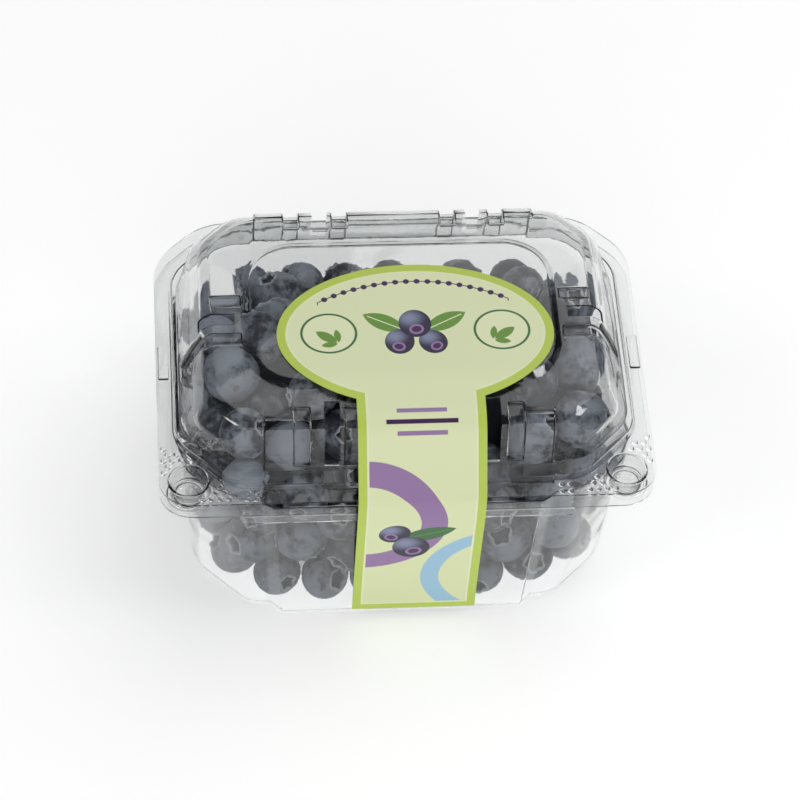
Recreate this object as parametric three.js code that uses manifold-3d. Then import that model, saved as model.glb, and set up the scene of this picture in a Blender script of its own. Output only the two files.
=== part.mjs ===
// Punnet of blueberries: a clear formed tray and lid, filled with loose berries and
// sealed by one label that runs over the lid and down the front of the tray.
// Millimetres, +Z up. The origin is the middle of the base and the front faces -Y.
import * as THREE from 'three';
import { mergeVertices } from 'three/addons/utils/BufferGeometryUtils.js';
import Module from 'manifold-3d';

const wasm = await Module();
wasm.setup();

// Driving dimensions of the sheet and the fits
const SHEET = 0.5;
const FIT = 0.35;
const CORNER_STEPS = 2;
const SOFT_LIMIT = 0.68;

// Tray: a heel at the bottom edge, a drafted wall and a flat flange.
// cut is the size of a corner's bevel, soft how far its two ends are rounded.
const TRAY_FLANGE_TOP = 47.8;
const TRAY_WALL = [
  { z: 0, halfWidth: 50.8, halfDepth: 37, cut: 12.8, soft: 3 },
  { z: 2.6, halfWidth: 51.9, halfDepth: 38, cut: 13.4, soft: 4 },
  { z: TRAY_FLANGE_TOP, halfWidth: 55, halfDepth: 40.2, cut: 12.6, soft: 5 },
];
const TRAY_PANEL = [
  { z: 0, halfWidth: 32.9, halfDepth: 40.1, cut: 3.2, soft: 1 },
  { z: 2.6, halfWidth: 33.7, halfDepth: 41.1, cut: 3.3, soft: 1 },
  { z: TRAY_FLANGE_TOP, halfWidth: 35.8, halfDepth: 42.4, cut: 3, soft: 1 },
];
const TRAY_KICK = [
  { z: 0, halfWidth: 41, halfDepth: 28, cut: 9, soft: 3 },
  { z: 1.4, halfWidth: 39.6, halfDepth: 26.6, cut: 8.6, soft: 3 },
];
const FLANGE_CORNERS = { cut: 4.7, soft: 3.2, backDepth: 44.2, backCut: 12.6, backSoft: 5.5 };
const TRAY_FLANGE = { halfWidth: 60, halfDepth: 45.2, ...FLANGE_CORNERS };
const TRAY_LIP = { halfLength: 40, depth: 2.6 };

// Lid: a flange, a low ledge, a bevelled wall, a crown and a raised top panel
const LID_FLANGE_TOP = 52.7;
const LID_FLANGE = { halfWidth: 60, halfDepth: 45, ...FLANGE_CORNERS };
const LID_LEDGE = [
  { z: LID_FLANGE_TOP - SHEET, halfWidth: 56.3, halfDepth: 40.4, cut: 13.8, soft: 4 },
  { z: 54.3, halfWidth: 55.7, halfDepth: 39.9, cut: 13.6, soft: 4 },
];
const LID_WALL = [
  { z: 54.2, halfWidth: 54.4, halfDepth: 35.6, cut: 11.5, soft: 5 },
  { z: 62.5, halfWidth: 51, halfDepth: 34.6, cut: 6.5, soft: 3 },
  { z: 66.8, halfWidth: 48.8, halfDepth: 33.8, cut: 8.6, soft: 3 },
  { z: 68.4, halfWidth: 46.4, halfDepth: 31, cut: 7.6, soft: 3 },
];
const LID_PANEL = [
  { z: 54.2, halfWidth: 35.6, halfDepth: 36.6, cut: 1.6, soft: 0.6 },
  { z: 66.4, halfWidth: 34.8, halfDepth: 35.2, cut: 1.6, soft: 0.6 },
  { z: 68.4, halfWidth: 34.8, halfDepth: 32, cut: 1.6, soft: 0.6 },
];
const LID_TOP = [
  { z: 68.3, halfWidth: 38.2, halfDepth: 23.2, cut: 7.3, soft: 4.8 },
  { z: 69.9, halfWidth: 36.6, halfDepth: 20.8, cut: 6.4, soft: 4.1 },
];
const LID_CROWN = LID_WALL[LID_WALL.length - 1].z;

// Vents: each front and back band has an open slot between two channels
const SLOT = { centres: [-18.4, 20], width: 3.8, inner: 27, low: 55.6 };
const CHANNEL = { centres: [13.5, 25.6], width: 3.6, inner: 28.6, depth: 1.1 };
const SIDE_BAND = { centreY: -0.7, slotWidth: 3.6, slotInner: 41, slotLow: 64.6, channelAt: 5.6 };
const SIDE_CHANNEL = { width: 2.4, inner: 42, depth: 1 };

// Press studs in the two front corners of the flanges, and stacking lugs on the sides
const STUD = { x: 52.8, y: -37.8, mouth: 4.8, foot: 3.5, footZ: 46.6, sides: 14 };
const LUG = { x: 58.3, y: -1.4, width: 2, length: 9.6, height: 0.7 };

// Living hinge: a soft fold behind the flanges
const HINGE = { halfLength: 44, steps: 5 };

// Label: an oval on the top panel and a strip down the front
const LABEL = {
  centreX: 2.9,
  ovalHalfWidth: 33.6,
  ovalHalfHeight: 21.7,
  stripHalfWidth: 15.4,
  backY: 13.8,
  thickness: 0.25,
  bendRadius: 1.6,
  footRise: 8,
  footGap: 0.5,
  kneeGap: 0.7,
  firstRow: 0.015,
  ovalSteps: 20,
  stripSteps: 34,
};

// Berries: loose spheres, settled in the pack by pushing apart what overlaps
const BERRIES = {
  count: 214,
  smallest: 5.6,
  largest: 7.5,
  flatness: 0.92,
  seed: 7,
  steps: 300,
  settleSteps: 180,
  fall: 0.32,
  push: 0.5,
};
const DRAWS = { multiplier: 1664525, increment: 1013904223, modulus: 2 ** 32 };
const HEAP = {
  frontTop: 66.2,
  underLid: 1.5,
  wallGap: 0.525,
  slope: 0.8,
  slopeFrom: 8,
  skin: 8.3,
  lowReach: 0.15,
  highReach: 0.45,
  inPanel: 2.7,
  inPanelTop: 1.8,
  panelEnd: 33,
  panelFade: 5,
  kickRoom: [46, 33],
  kickFade: 5,
};
const CORE = { inset: 7.2, floor: 6.5, underTop: 8.7, cut: 12, soft: 4 };

// Finishes
const CLEAR = { color: 0xe9eeee, roughness: 0.08, metalness: 0, transparent: true, opacity: 0.3 };
const FRUIT = { color: 0x3b4254, roughness: 0.55, metalness: 0 };
const PAPER = { color: 0xdde4b8, roughness: 0.4, metalness: 0 };

// Outline of a section: a rectangle with bevelled corners and softened ends
function outline(section, inset = 0) {
  const w = section.halfWidth - inset;
  const d = section.halfDepth - inset;
  const backD = (section.backDepth ?? section.halfDepth) - inset;
  const bevelLoss = inset * (2 - Math.SQRT2);
  const front = section.cut - bevelLoss;
  const back = (section.backCut ?? section.cut) - bevelLoss;
  const frontSoft = Math.min(section.soft, front * SOFT_LIMIT);
  const backSoft = Math.min(section.backSoft ?? section.soft, back * SOFT_LIMIT);
  const corners = [
    [w, -d + front, frontSoft],
    [w, backD - back, backSoft],
    [w - back, backD, backSoft],
    [-w + back, backD, backSoft],
    [-w, backD - back, backSoft],
    [-w, -d + front, frontSoft],
    [-w + front, -d, frontSoft],
    [w - front, -d, frontSoft],
  ].map(([x, y, soft]) => ({ at: new THREE.Vector2(x, y), soft }));
  return roundedPath(corners);
}

// Closed shape through the corners, each rounded over its own soft length
function roundedPath(corners) {
  const shape = new THREE.Shape();
  corners.forEach((corner, i) => {
    const before = corners[(i + corners.length - 1) % corners.length].at;
    const after = corners[(i + 1) % corners.length].at;
    const enter = towards(corner.at, before, corner.soft);
    const leave = towards(corner.at, after, corner.soft);
    if (i === 0) shape.moveTo(enter.x, enter.y);
    else shape.lineTo(enter.x, enter.y);
    shape.quadraticCurveTo(corner.at.x, corner.at.y, leave.x, leave.y);
  });
  shape.closePath();
  return shape;
}

function towards(from, to, distance) {
  return to.clone().sub(from).setLength(distance).add(from);
}

function ringPoints(section, inset) {
  const points = outline(section, inset).getPoints(CORNER_STEPS);
  points.pop();
  return points;
}

// Closed solid through rings of equal length, lowest first
function loft(rings) {
  const size = rings[0].length;
  const positions = rings.flatMap((ring) => ring.flatMap(({ x, y, z }) => [x, y, z]));
  const index = [];
  for (let row = 0; row + 1 < rings.length; row += 1) {
    for (let i = 0; i < size; i += 1) {
      const next = (i + 1) % size;
      const a = row * size + i;
      const b = row * size + next;
      index.push(a, b, b + size, a, b + size, a + size);
    }
  }
  const base = (rings.length - 1) * size;
  const flat = rings[0].map(({ x, y }) => new THREE.Vector2(x, y));
  for (const [a, b, c] of THREE.ShapeUtils.triangulateShape(flat, [])) {
    index.push(a, c, b, base + a, base + b, base + c);
  }
  const geometry = new THREE.BufferGeometry();
  geometry.setAttribute('position', new THREE.Float32BufferAttribute(positions, 3));
  geometry.setIndex(index);
  return solid(geometry);
}

function loftSections(sections, { inset = 0, rise = 0, lowEnd = 0, highEnd = 0 } = {}) {
  const last = sections.length - 1;
  const rings = sections.map((section, i) => {
    const end = i === 0 ? -lowEnd : i === last ? highEnd : 0;
    const z = section.z + rise + end;
    return ringPoints(section, inset).map(({ x, y }) => ({ x, y, z }));
  });
  return loft(rings);
}

function solid(geometry) {
  geometry.deleteAttribute('normal');
  geometry.deleteAttribute('uv');
  const merged = mergeVertices(geometry);
  return new wasm.Manifold(new wasm.Mesh({
    numProp: 3,
    vertProperties: Float32Array.from(merged.attributes.position.array),
    triVerts: Uint32Array.from(merged.index.array),
  }));
}

function box(low, high) {
  const size = high.clone().sub(low);
  const geometry = new THREE.BoxGeometry(size.x, size.y, size.z);
  geometry.translate(low.x + size.x / 2, low.y + size.y / 2, low.z + size.z / 2);
  return solid(geometry);
}

function plate(section, top) {
  const geometry = new THREE.ExtrudeGeometry(outline(section), {
    depth: SHEET,
    bevelEnabled: false,
    curveSegments: CORNER_STEPS,
  });
  geometry.translate(0, 0, top - SHEET);
  return solid(geometry);
}

// Upright cone frustum at a point of the plan
function frustum(x, y, lowZ, lowRadius, highZ, highRadius) {
  const geometry = new THREE.CylinderGeometry(highRadius, lowRadius, highZ - lowZ, STUD.sides);
  geometry.rotateX(Math.PI / 2);
  geometry.translate(x, y, (lowZ + highZ) / 2);
  return solid(geometry);
}

function joinAll(solids) {
  return solids.reduce((whole, piece) => whole.add(piece));
}

const SIDES = [-1, 1];
const ABOVE = 30;

// A band box on the front or back wall, from its inner end out past the wall
function wallBand(centre, width, inner, low, side, grow = 0) {
  const half = width / 2 + grow;
  const near = inner - grow;
  const far = TRAY_FLANGE.halfDepth;
  const [y0, y1] = side < 0 ? [-far, -near] : [near, far];
  return box(
    new THREE.Vector3(centre - half, y0, low),
    new THREE.Vector3(centre + half, y1, LID_CROWN + ABOVE),
  );
}

// What a channel removes: the skin between the wall panel and the same panel set in
function channelCut(sections, blocks, depth) {
  const set = loftSections(sections, { inset: depth, rise: -depth, lowEnd: ABOVE });
  return joinAll(blocks).subtract(set);
}

function frontChannels(grow) {
  const low = LID_PANEL[0].z + SHEET;
  const blocks = [];
  for (const side of SIDES) {
    for (const hand of SIDES) {
      for (const centre of CHANNEL.centres) {
        blocks.push(wallBand(hand * centre, CHANNEL.width, CHANNEL.inner, low, side, grow));
      }
    }
  }
  return channelCut(LID_PANEL, blocks, CHANNEL.depth + grow);
}

function sideBlock(hand, centreY, width, inner, low, grow = 0) {
  const half = width / 2 + grow;
  const near = inner - grow;
  const far = LID_FLANGE.halfWidth;
  const [x0, x1] = hand < 0 ? [-far, -near] : [near, far];
  return box(
    new THREE.Vector3(x0, centreY - half, low),
    new THREE.Vector3(x1, centreY + half, LID_CROWN + ABOVE),
  );
}

function sideChannels(grow) {
  const low = LID_WALL[0].z + SHEET;
  const blocks = [];
  for (const hand of SIDES) {
    for (const end of SIDES) {
      const y = SIDE_BAND.centreY + end * SIDE_BAND.channelAt;
      blocks.push(sideBlock(hand, y, SIDE_CHANNEL.width, SIDE_CHANNEL.inner, low, grow));
    }
  }
  return channelCut(LID_WALL, blocks, SIDE_CHANNEL.depth + grow);
}

function ventSlots() {
  const cuts = [];
  for (const side of SIDES) {
    for (const centre of SLOT.centres) {
      cuts.push(wallBand(centre, SLOT.width, SLOT.inner, SLOT.low, side));
    }
    const { centreY, slotWidth, slotInner, slotLow } = SIDE_BAND;
    cuts.push(sideBlock(side, centreY, slotWidth, slotInner, slotLow));
  }
  return joinAll(cuts);
}

function studRadius(z) {
  const share = (z - STUD.footZ) / (LID_FLANGE_TOP - STUD.footZ);
  return STUD.foot + (STUD.mouth - STUD.foot) * share;
}

function buildTray() {
  const outer = loftSections(TRAY_WALL)
    .add(loftSections(TRAY_PANEL))
    .subtract(loftSections(TRAY_KICK, { lowEnd: SHEET }));
  const hollowShape = { inset: SHEET, rise: SHEET, highEnd: SHEET };
  const kick = loftSections(TRAY_KICK, { inset: -SHEET, rise: SHEET, lowEnd: SHEET * 2 });
  const hollow = loftSections(TRAY_WALL, hollowShape)
    .add(loftSections(TRAY_PANEL, hollowShape))
    .subtract(kick);
  const lipTop = TRAY_FLANGE_TOP - SHEET / 2;
  const lip = box(
    new THREE.Vector3(-TRAY_LIP.halfLength, -TRAY_FLANGE.halfDepth, TRAY_FLANGE_TOP - TRAY_LIP.depth),
    new THREE.Vector3(TRAY_LIP.halfLength, -TRAY_FLANGE.halfDepth + SHEET, lipTop),
  );
  let tray = outer.add(plate(TRAY_FLANGE, TRAY_FLANGE_TOP)).add(lip).add(hingeFold());
  tray = tray.subtract(hollow);
  for (const hand of SIDES) tray = addSocket(tray, hand * STUD.x);
  return tray;
}

// Socket that the lid's stud is pressed into
function addSocket(tray, x) {
  const floor = STUD.footZ - FIT;
  const footRadius = STUD.foot + FIT;
  const mouthRadius = studRadius(TRAY_FLANGE_TOP) + FIT;
  const low = floor - SHEET;
  const cup = frustum(x, STUD.y, low, footRadius + SHEET, TRAY_FLANGE_TOP, mouthRadius + SHEET);
  const room = frustum(x, STUD.y, floor, footRadius, TRAY_FLANGE_TOP + SHEET, mouthRadius + FIT / 2);
  return tray.add(cup).subtract(room);
}

// Half-round fold behind the tray's flange, up to the level of the lid's
function hingeFold() {
  const low = TRAY_FLANGE_TOP - SHEET;
  const high = LID_FLANGE_TOP;
  const middle = (low + high) / 2;
  const outerHeight = (high - low) / 2;
  const y = FLANGE_CORNERS.backDepth + FIT;
  const bulge = TRAY_FLANGE.halfDepth + FIT + LABEL.thickness - y;
  const arc = (depth, height, turn) => Array.from({ length: HINGE.steps * 2 + 1 }, (_, i) => {
    const angle = turn * (i / (HINGE.steps * 2) - 0.5) * Math.PI;
    return new THREE.Vector2(y + depth * Math.cos(angle), middle + height * Math.sin(angle));
  });
  const outside = arc(bulge, outerHeight, 1);
  const inside = arc(bulge - SHEET, outerHeight - SHEET, -1);
  const geometry = new THREE.ExtrudeGeometry(new THREE.Shape([...outside, ...inside]), {
    depth: HINGE.halfLength * 2,
    bevelEnabled: false,
  });
  geometry.applyMatrix4(new THREE.Matrix4().set(
    0, 0, 1, -HINGE.halfLength,
    1, 0, 0, 0,
    0, 1, 0, 0,
    0, 0, 0, 1,
  ));
  const root = box(
    new THREE.Vector3(-HINGE.halfLength, FLANGE_CORNERS.backDepth - SHEET, low),
    new THREE.Vector3(HINGE.halfLength, y + SHEET, TRAY_FLANGE_TOP),
  );
  return solid(geometry).add(root);
}

function buildLid() {
  const outer = joinAll([
    plate(LID_FLANGE, LID_FLANGE_TOP),
    loftSections(LID_LEDGE),
    loftSections(LID_WALL),
    loftSections(LID_PANEL),
    loftSections(LID_TOP),
  ]).subtract(frontChannels(0)).subtract(sideChannels(0));
  const set = { inset: SHEET, rise: -SHEET, lowEnd: SHEET };
  const hollow = joinAll([
    loftSections(LID_LEDGE, set),
    loftSections(LID_WALL, set),
    loftSections(LID_PANEL, set),
    loftSections(LID_TOP, set),
  ]).subtract(frontChannels(SHEET)).subtract(sideChannels(SHEET));
  let lid = outer.subtract(hollow).subtract(ventSlots());
  for (const hand of SIDES) {
    lid = addStud(lid, hand * STUD.x);
    lid = lid.add(lug(hand));
  }
  return largest(lid);
}

// Stud: a cup pressed down out of the flange
function addStud(lid, x) {
  const cup = frustum(x, STUD.y, STUD.footZ, STUD.foot, LID_FLANGE_TOP, STUD.mouth);
  const floor = STUD.footZ + SHEET;
  const mouth = STUD.mouth - SHEET;
  const room = frustum(x, STUD.y, floor, STUD.foot - SHEET, LID_FLANGE_TOP, mouth);
  const open = frustum(x, STUD.y, LID_FLANGE_TOP - FIT, mouth, LID_FLANGE_TOP + SHEET, mouth);
  return lid.add(cup).subtract(room).subtract(open);
}

function lug(hand) {
  const middle = new THREE.Vector3(hand * LUG.x, LUG.y, LID_FLANGE_TOP);
  const half = new THREE.Vector3(LUG.width / 2, LUG.length / 2, LUG.height);
  const low = middle.clone().sub(half);
  low.z = LID_FLANGE_TOP - SHEET / 2;
  return box(low, middle.clone().add(half));
}

// The biggest connected piece, so that closed pockets are filled and scraps dropped
function largest(whole) {
  return whole.decompose().reduce((a, b) => (b.volume() > a.volume() ? b : a));
}

// Label's path in the plane of Y and Z: along the top panel, over the brow of the lid,
// to the edge of the flanges and down to the foot of the tray
function labelPath() {
  const top = LID_TOP[LID_TOP.length - 1];
  const crown = LID_PANEL[LID_PANEL.length - 1];
  const brow = LID_PANEL[LID_PANEL.length - 2];
  const heel = TRAY_PANEL[1];
  const edge = TRAY_FLANGE.halfDepth + FIT;
  const corners = [
    [LABEL.backY, top.z + FIT],
    [-top.halfDepth, top.z + FIT],
    [-crown.halfDepth - FIT, crown.z + FIT],
    [-brow.halfDepth - FIT, brow.z + FIT],
    [-edge, LID_FLANGE_TOP + FIT],
    [-edge, TRAY_FLANGE_TOP - TRAY_LIP.depth - FIT],
    [-heel.halfDepth - LABEL.kneeGap, heel.z + LABEL.footRise],
    [-heel.halfDepth - LABEL.footGap, heel.z + FIT],
  ].map(([y, z]) => new THREE.Vector2(y, z));
  const path = new THREE.CurvePath();
  let from = corners[0];
  for (let i = 1; i + 1 < corners.length; i += 1) {
    const enter = towards(corners[i], corners[i - 1], LABEL.bendRadius);
    const leave = towards(corners[i], corners[i + 1], LABEL.bendRadius);
    path.add(new THREE.LineCurve(from, enter));
    path.add(new THREE.QuadraticBezierCurve(enter, corners[i], leave));
    from = leave;
  }
  path.add(new THREE.LineCurve(from, corners[corners.length - 1]));
  return path;
}

function labelHalfWidth(s) {
  const v = s / LABEL.ovalHalfHeight - 1;
  const oval = LABEL.ovalHalfWidth * Math.sqrt(Math.max(0, 1 - v * v));
  return v < 0 ? oval : Math.max(oval, LABEL.stripHalfWidth);
}

// Rows of the label by length along its path: close together at the oval's back end
function labelRows(length) {
  const ratio = LABEL.stripHalfWidth / LABEL.ovalHalfWidth;
  const lastAngle = Math.PI - Math.asin(ratio);
  const rows = [];
  for (let i = 0; i <= LABEL.ovalSteps; i += 1) {
    const angle = Math.max(i / LABEL.ovalSteps, LABEL.firstRow) * lastAngle;
    rows.push(LABEL.ovalHalfHeight * (1 - Math.cos(angle)));
  }
  const stripStart = rows[rows.length - 1];
  for (let i = 1; i <= LABEL.stripSteps; i += 1) {
    rows.push(stripStart + (length - stripStart) * (i / LABEL.stripSteps));
  }
  return rows;
}

function buildLabel() {
  const path = labelPath();
  const length = path.getLength();
  const rings = labelRows(length).map((s) => {
    const t = Math.min(s / length, 1);
    const at = path.getPointAt(t);
    const along = path.getTangentAt(t);
    const out = new THREE.Vector2(-along.y, along.x).multiplyScalar(-LABEL.thickness);
    const half = labelHalfWidth(s);
    const corner = (side, lift) => ({
      x: LABEL.centreX + side * half,
      y: at.x + lift * out.x,
      z: at.y + lift * out.y,
    });
    return [corner(-1, 0), corner(1, 0), corner(1, 1), corner(-1, 1)];
  });
  return ribbon(rings);
}

// Closed ribbon through four-cornered rings
function ribbon(rings) {
  const positions = rings.flatMap((ring) => ring.flatMap(({ x, y, z }) => [x, y, z]));
  const index = [];
  for (let row = 0; row + 1 < rings.length; row += 1) {
    for (let i = 0; i < 4; i += 1) {
      const a = row * 4 + i;
      const b = row * 4 + ((i + 1) % 4);
      index.push(a, b, b + 4, a, b + 4, a + 4);
    }
  }
  const end = (rings.length - 1) * 4;
  index.push(0, 2, 1, 0, 3, 2, end, end + 1, end + 2, end, end + 2, end + 3);
  const geometry = new THREE.BufferGeometry();
  geometry.setAttribute('position', new THREE.Float32BufferAttribute(positions, 3));
  geometry.setIndex(index);
  return solid(geometry);
}

// Seeded draws between 0 and 1
function randomDraws(seed) {
  let state = seed;
  return () => {
    state = (state * DRAWS.multiplier + DRAWS.increment) % DRAWS.modulus;
    return state / DRAWS.modulus;
  };
}

// Sections of the room inside the pack, and its size at a height
const ROOM = [
  ...TRAY_WALL.slice(1),
  ...LID_WALL.map((section) => ({
    ...section,
    halfWidth: section.halfWidth - HEAP.underLid,
    halfDepth: section.halfDepth - HEAP.underLid,
  })),
];

function roomAt(z) {
  let i = 0;
  while (i + 2 < ROOM.length && z > ROOM[i + 1].z) i += 1;
  const a = ROOM[i];
  const b = ROOM[i + 1];
  const share = Math.min(Math.max((z - a.z) / (b.z - a.z), 0), 1);
  const halfWidth = a.halfWidth + (b.halfWidth - a.halfWidth) * share;
  const halfDepth = a.halfDepth + (b.halfDepth - a.halfDepth) * share;
  const cut = a.cut + (b.cut - a.cut) * share;
  return { halfWidth, halfDepth, diagonal: halfWidth + halfDepth - cut };
}

function clamped(share) {
  return Math.min(Math.max(share, 0), 1);
}

// Depth that the tray's proud panels add to the room at a place
function panelRoom(x, z) {
  if (z > TRAY_FLANGE_TOP) return 0;
  const depth = HEAP.inPanel + (HEAP.inPanelTop - HEAP.inPanel) * z / TRAY_FLANGE_TOP;
  return depth * clamped((HEAP.panelEnd - Math.abs(x)) / HEAP.panelFade);
}

// Height of the tray's inside floor at a place: on the kick, or in the groove round it
function floorAt(x, y) {
  const [far, deep] = HEAP.kickRoom;
  const across = clamped((far - Math.abs(x)) / HEAP.kickFade);
  const along = clamped((deep - Math.abs(y)) / HEAP.kickFade);
  return TRAY_KICK[1].z * Math.min(across, along) + SHEET + FIT;
}

// Keeps a berry off the walls, the floor and the sloping top of the heap
function keepInside(berry) {
  const off = berry.r + SHEET + HEAP.wallGap;
  const below = roomAt(berry.z - berry.r * HEAP.lowReach);
  const above = roomAt(berry.z + berry.r * HEAP.highReach);
  const w = Math.min(below.halfWidth, above.halfWidth) - off;
  const extra = panelRoom(berry.x, berry.z + berry.r * HEAP.highReach);
  const d = Math.min(below.halfDepth, above.halfDepth) - off + extra;
  berry.x = Math.min(Math.max(berry.x, -w), w);
  berry.y = Math.min(Math.max(berry.y, -d), d);
  const reach = Math.min(below.diagonal, above.diagonal) - off * Math.SQRT2;
  const over = Math.abs(berry.x) + Math.abs(berry.y) - reach;
  if (over > 0) {
    berry.x -= Math.sign(berry.x) * over / 2;
    berry.y -= Math.sign(berry.y) * over / 2;
  }
  const floor = floorAt(berry.x, berry.y) + berry.r;
  const top = HEAP.frontTop - HEAP.slope * Math.max(0, berry.y - HEAP.slopeFrom) - berry.r;
  berry.z = Math.max(Math.min(berry.z, top), floor);
}

function pushApart(berries, share) {
  for (let i = 0; i < berries.length; i += 1) {
    const a = berries[i];
    for (let j = i + 1; j < berries.length; j += 1) {
      const b = berries[j];
      const reach = a.r + b.r;
      const dx = b.x - a.x;
      const dy = b.y - a.y;
      const dz = b.z - a.z;
      const gap = dx * dx + dy * dy + dz * dz;
      if (gap < reach * reach && gap > 0) {
        const distance = Math.sqrt(gap);
        const move = (reach - distance) * share / distance;
        a.x -= dx * move;
        a.y -= dy * move;
        a.z -= dz * move;
        b.x += dx * move;
        b.y += dy * move;
        b.z += dz * move;
      }
    }
  }
}

// Berries with centre, radius and the direction that the crown faces
function settledBerries() {
  const draw = randomDraws(BERRIES.seed);
  const low = TRAY_WALL[1];
  const berries = Array.from({ length: BERRIES.count }, () => {
    const spread = (draw() + draw()) / 2;
    return {
      r: BERRIES.smallest + (BERRIES.largest - BERRIES.smallest) * spread,
      x: (draw() * 2 - 1) * low.halfWidth,
      y: (draw() * 2 - 1) * low.halfDepth,
      z: draw() * HEAP.frontTop,
      crown: [draw() * 2 - 1, draw() * 2 - 1, draw() * 2 - 1],
    };
  });
  for (let step = 0; step < BERRIES.steps; step += 1) {
    const falling = step < BERRIES.settleSteps ? BERRIES.fall : 0;
    for (const berry of berries) berry.z -= falling;
    pushApart(berries, BERRIES.push);
    for (const berry of berries) keepInside(berry);
  }
  return berries;
}

// How far a berry lies from the nearest wall or from the top of the heap
function depthInHeap(berry) {
  const room = roomAt(berry.z);
  const reach = Math.abs(berry.x) + Math.abs(berry.y);
  const top = HEAP.frontTop - HEAP.slope * Math.max(0, berry.y - HEAP.slopeFrom);
  return Math.min(
    room.halfWidth - Math.abs(berry.x),
    room.halfDepth + panelRoom(berry.x, berry.z) - Math.abs(berry.y),
    (room.diagonal - reach) / Math.SQRT2,
    top - berry.z,
  );
}

function berrySolid(berry) {
  const geometry = new THREE.IcosahedronGeometry(berry.r, 1);
  geometry.scale(1, 1, BERRIES.flatness);
  const up = new THREE.Vector3(0, 0, 1);
  const crown = new THREE.Vector3(...berry.crown).normalize();
  geometry.applyQuaternion(new THREE.Quaternion().setFromUnitVectors(up, crown));
  geometry.translate(berry.x, berry.y, berry.z);
  return solid(geometry);
}

function buildHeap() {
  const core = loftSections([
    { ...TRAY_WALL[1], z: CORE.floor },
    { ...TRAY_WALL[2], z: TRAY_FLANGE_TOP },
    { ...LID_WALL[1], z: HEAP.frontTop - CORE.underTop },
  ].map((section) => ({ ...section, cut: CORE.cut, soft: CORE.soft })), { inset: CORE.inset });
  const behind = new THREE.Plane(new THREE.Vector3(0, -HEAP.slope, -1), 0);
  behind.constant = HEAP.frontTop - CORE.underTop + HEAP.slope * HEAP.slopeFrom;
  behind.normalize();
  const skin = settledBerries().filter((berry) => depthInHeap(berry) < HEAP.skin);
  const sloped = core.trimByPlane(behind.normal.toArray(), -behind.constant);
  return largest(joinAll([sloped, ...skin.map(berrySolid)]));
}

function part(name, shape, finish) {
  const { vertProperties, triVerts } = shape.getMesh();
  const geometry = new THREE.BufferGeometry();
  geometry.setAttribute('position', new THREE.BufferAttribute(vertProperties, 3));
  geometry.setIndex(new THREE.BufferAttribute(triVerts, 1));
  geometry.computeVertexNormals();
  const mesh = new THREE.Mesh(geometry, new THREE.MeshStandardMaterial(finish));
  mesh.name = name;
  return mesh;
}

const punnet = new THREE.Group();
punnet.name = 'blueberry_punnet';
punnet.add(
  part('tray', buildTray(), CLEAR),
  part('lid', buildLid(), CLEAR),
  part('blueberries', buildHeap(), FRUIT),
  part('label', buildLabel(), PAPER),
);

export default punnet;
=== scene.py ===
"""Punnet of blueberries: a clear tray and lid, loose berries and a printed label.

Every piece is modelled in millimetres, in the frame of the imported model, and is
brought to metres when it is finished.
"""
import logging
import math
from dataclasses import dataclass, field, replace
from enum import Enum
from typing import Callable, Iterable, Sequence

import bmesh
import bpy
from mathutils import Matrix, Vector
from mathutils.bvhtree import BVHTree


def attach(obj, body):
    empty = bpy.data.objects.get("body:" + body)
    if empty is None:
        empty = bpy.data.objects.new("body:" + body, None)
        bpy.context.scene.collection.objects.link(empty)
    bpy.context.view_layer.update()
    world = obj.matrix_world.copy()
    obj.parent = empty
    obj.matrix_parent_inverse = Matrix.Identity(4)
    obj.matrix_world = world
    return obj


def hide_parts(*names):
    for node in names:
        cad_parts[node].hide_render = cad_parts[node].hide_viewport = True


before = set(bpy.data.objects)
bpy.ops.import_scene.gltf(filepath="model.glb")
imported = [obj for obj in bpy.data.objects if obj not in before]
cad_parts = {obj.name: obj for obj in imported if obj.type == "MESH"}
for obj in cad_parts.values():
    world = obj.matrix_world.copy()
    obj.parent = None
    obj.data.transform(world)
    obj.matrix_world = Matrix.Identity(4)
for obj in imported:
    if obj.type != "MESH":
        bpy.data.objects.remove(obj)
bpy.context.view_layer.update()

LOG = logging.getLogger("punnet")
MM = 0.001
ROOT = "root"
# Points nearer to each other than this, in millimetres, are at the same place.
NEAR = 0.01
# Faces that turn by less than this are in one plane.
FLAT = math.radians(2)
# A normal with less than this along an axis stands across that axis.
ACROSS = 0.02
# A normal with more than this along an axis points along it.
ALONG = 0.9
# Thickness of the formed sheet, and of the cups drawn deep in it.
SHEET = 0.45
DRAWN = 0.3
# A point that a bevel throws further than this off the sheet is brought back.
STRAY = 0.3
FLANGE_CORNERS = {"cut": 4.7, "soft": 3.2, "back_depth": 44.2, "back_cut": 12.6, "back_soft": 5.5}
SIDES = (-1, 1)
Pair = tuple[float, float]
Triple = tuple[float, float, float]
Colour = tuple[float, float, float, float]
Test = Callable[[Vector, Vector], bool]
Socket = bpy.types.NodeSocket
Feed = Socket | float | Sequence[float]


class Fold(Enum):
    """Radii of the folds of the formed sheet, in millimetres."""

    CRISP = 0.32
    CREASE = 0.5
    SOFT = 0.9
    ROUND = 1.4


def deselect_all() -> None:
    """Leaves object mode with nothing selected."""
    if bpy.context.object and bpy.context.object.mode != "OBJECT":
        bpy.ops.object.mode_set(mode="OBJECT")
    bpy.ops.object.select_all(action="DESELECT")


def take(*objects: bpy.types.Object) -> None:
    """Selects these objects alone, the first of them active.

    Args:
        *objects: Those to select, first the one to be active.
    """
    deselect_all()
    for obj in objects:
        obj.select_set(True)
    bpy.context.view_layer.objects.active = objects[0]


def join(objects: Sequence[bpy.types.Object]) -> bpy.types.Object:
    """Joins objects into the first one.

    Args:
        objects: The meshes to join.

    Returns:
        The joined object.
    """
    take(*objects)
    if len(objects) > 1:
        bpy.ops.object.join()
    return bpy.context.object


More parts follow.
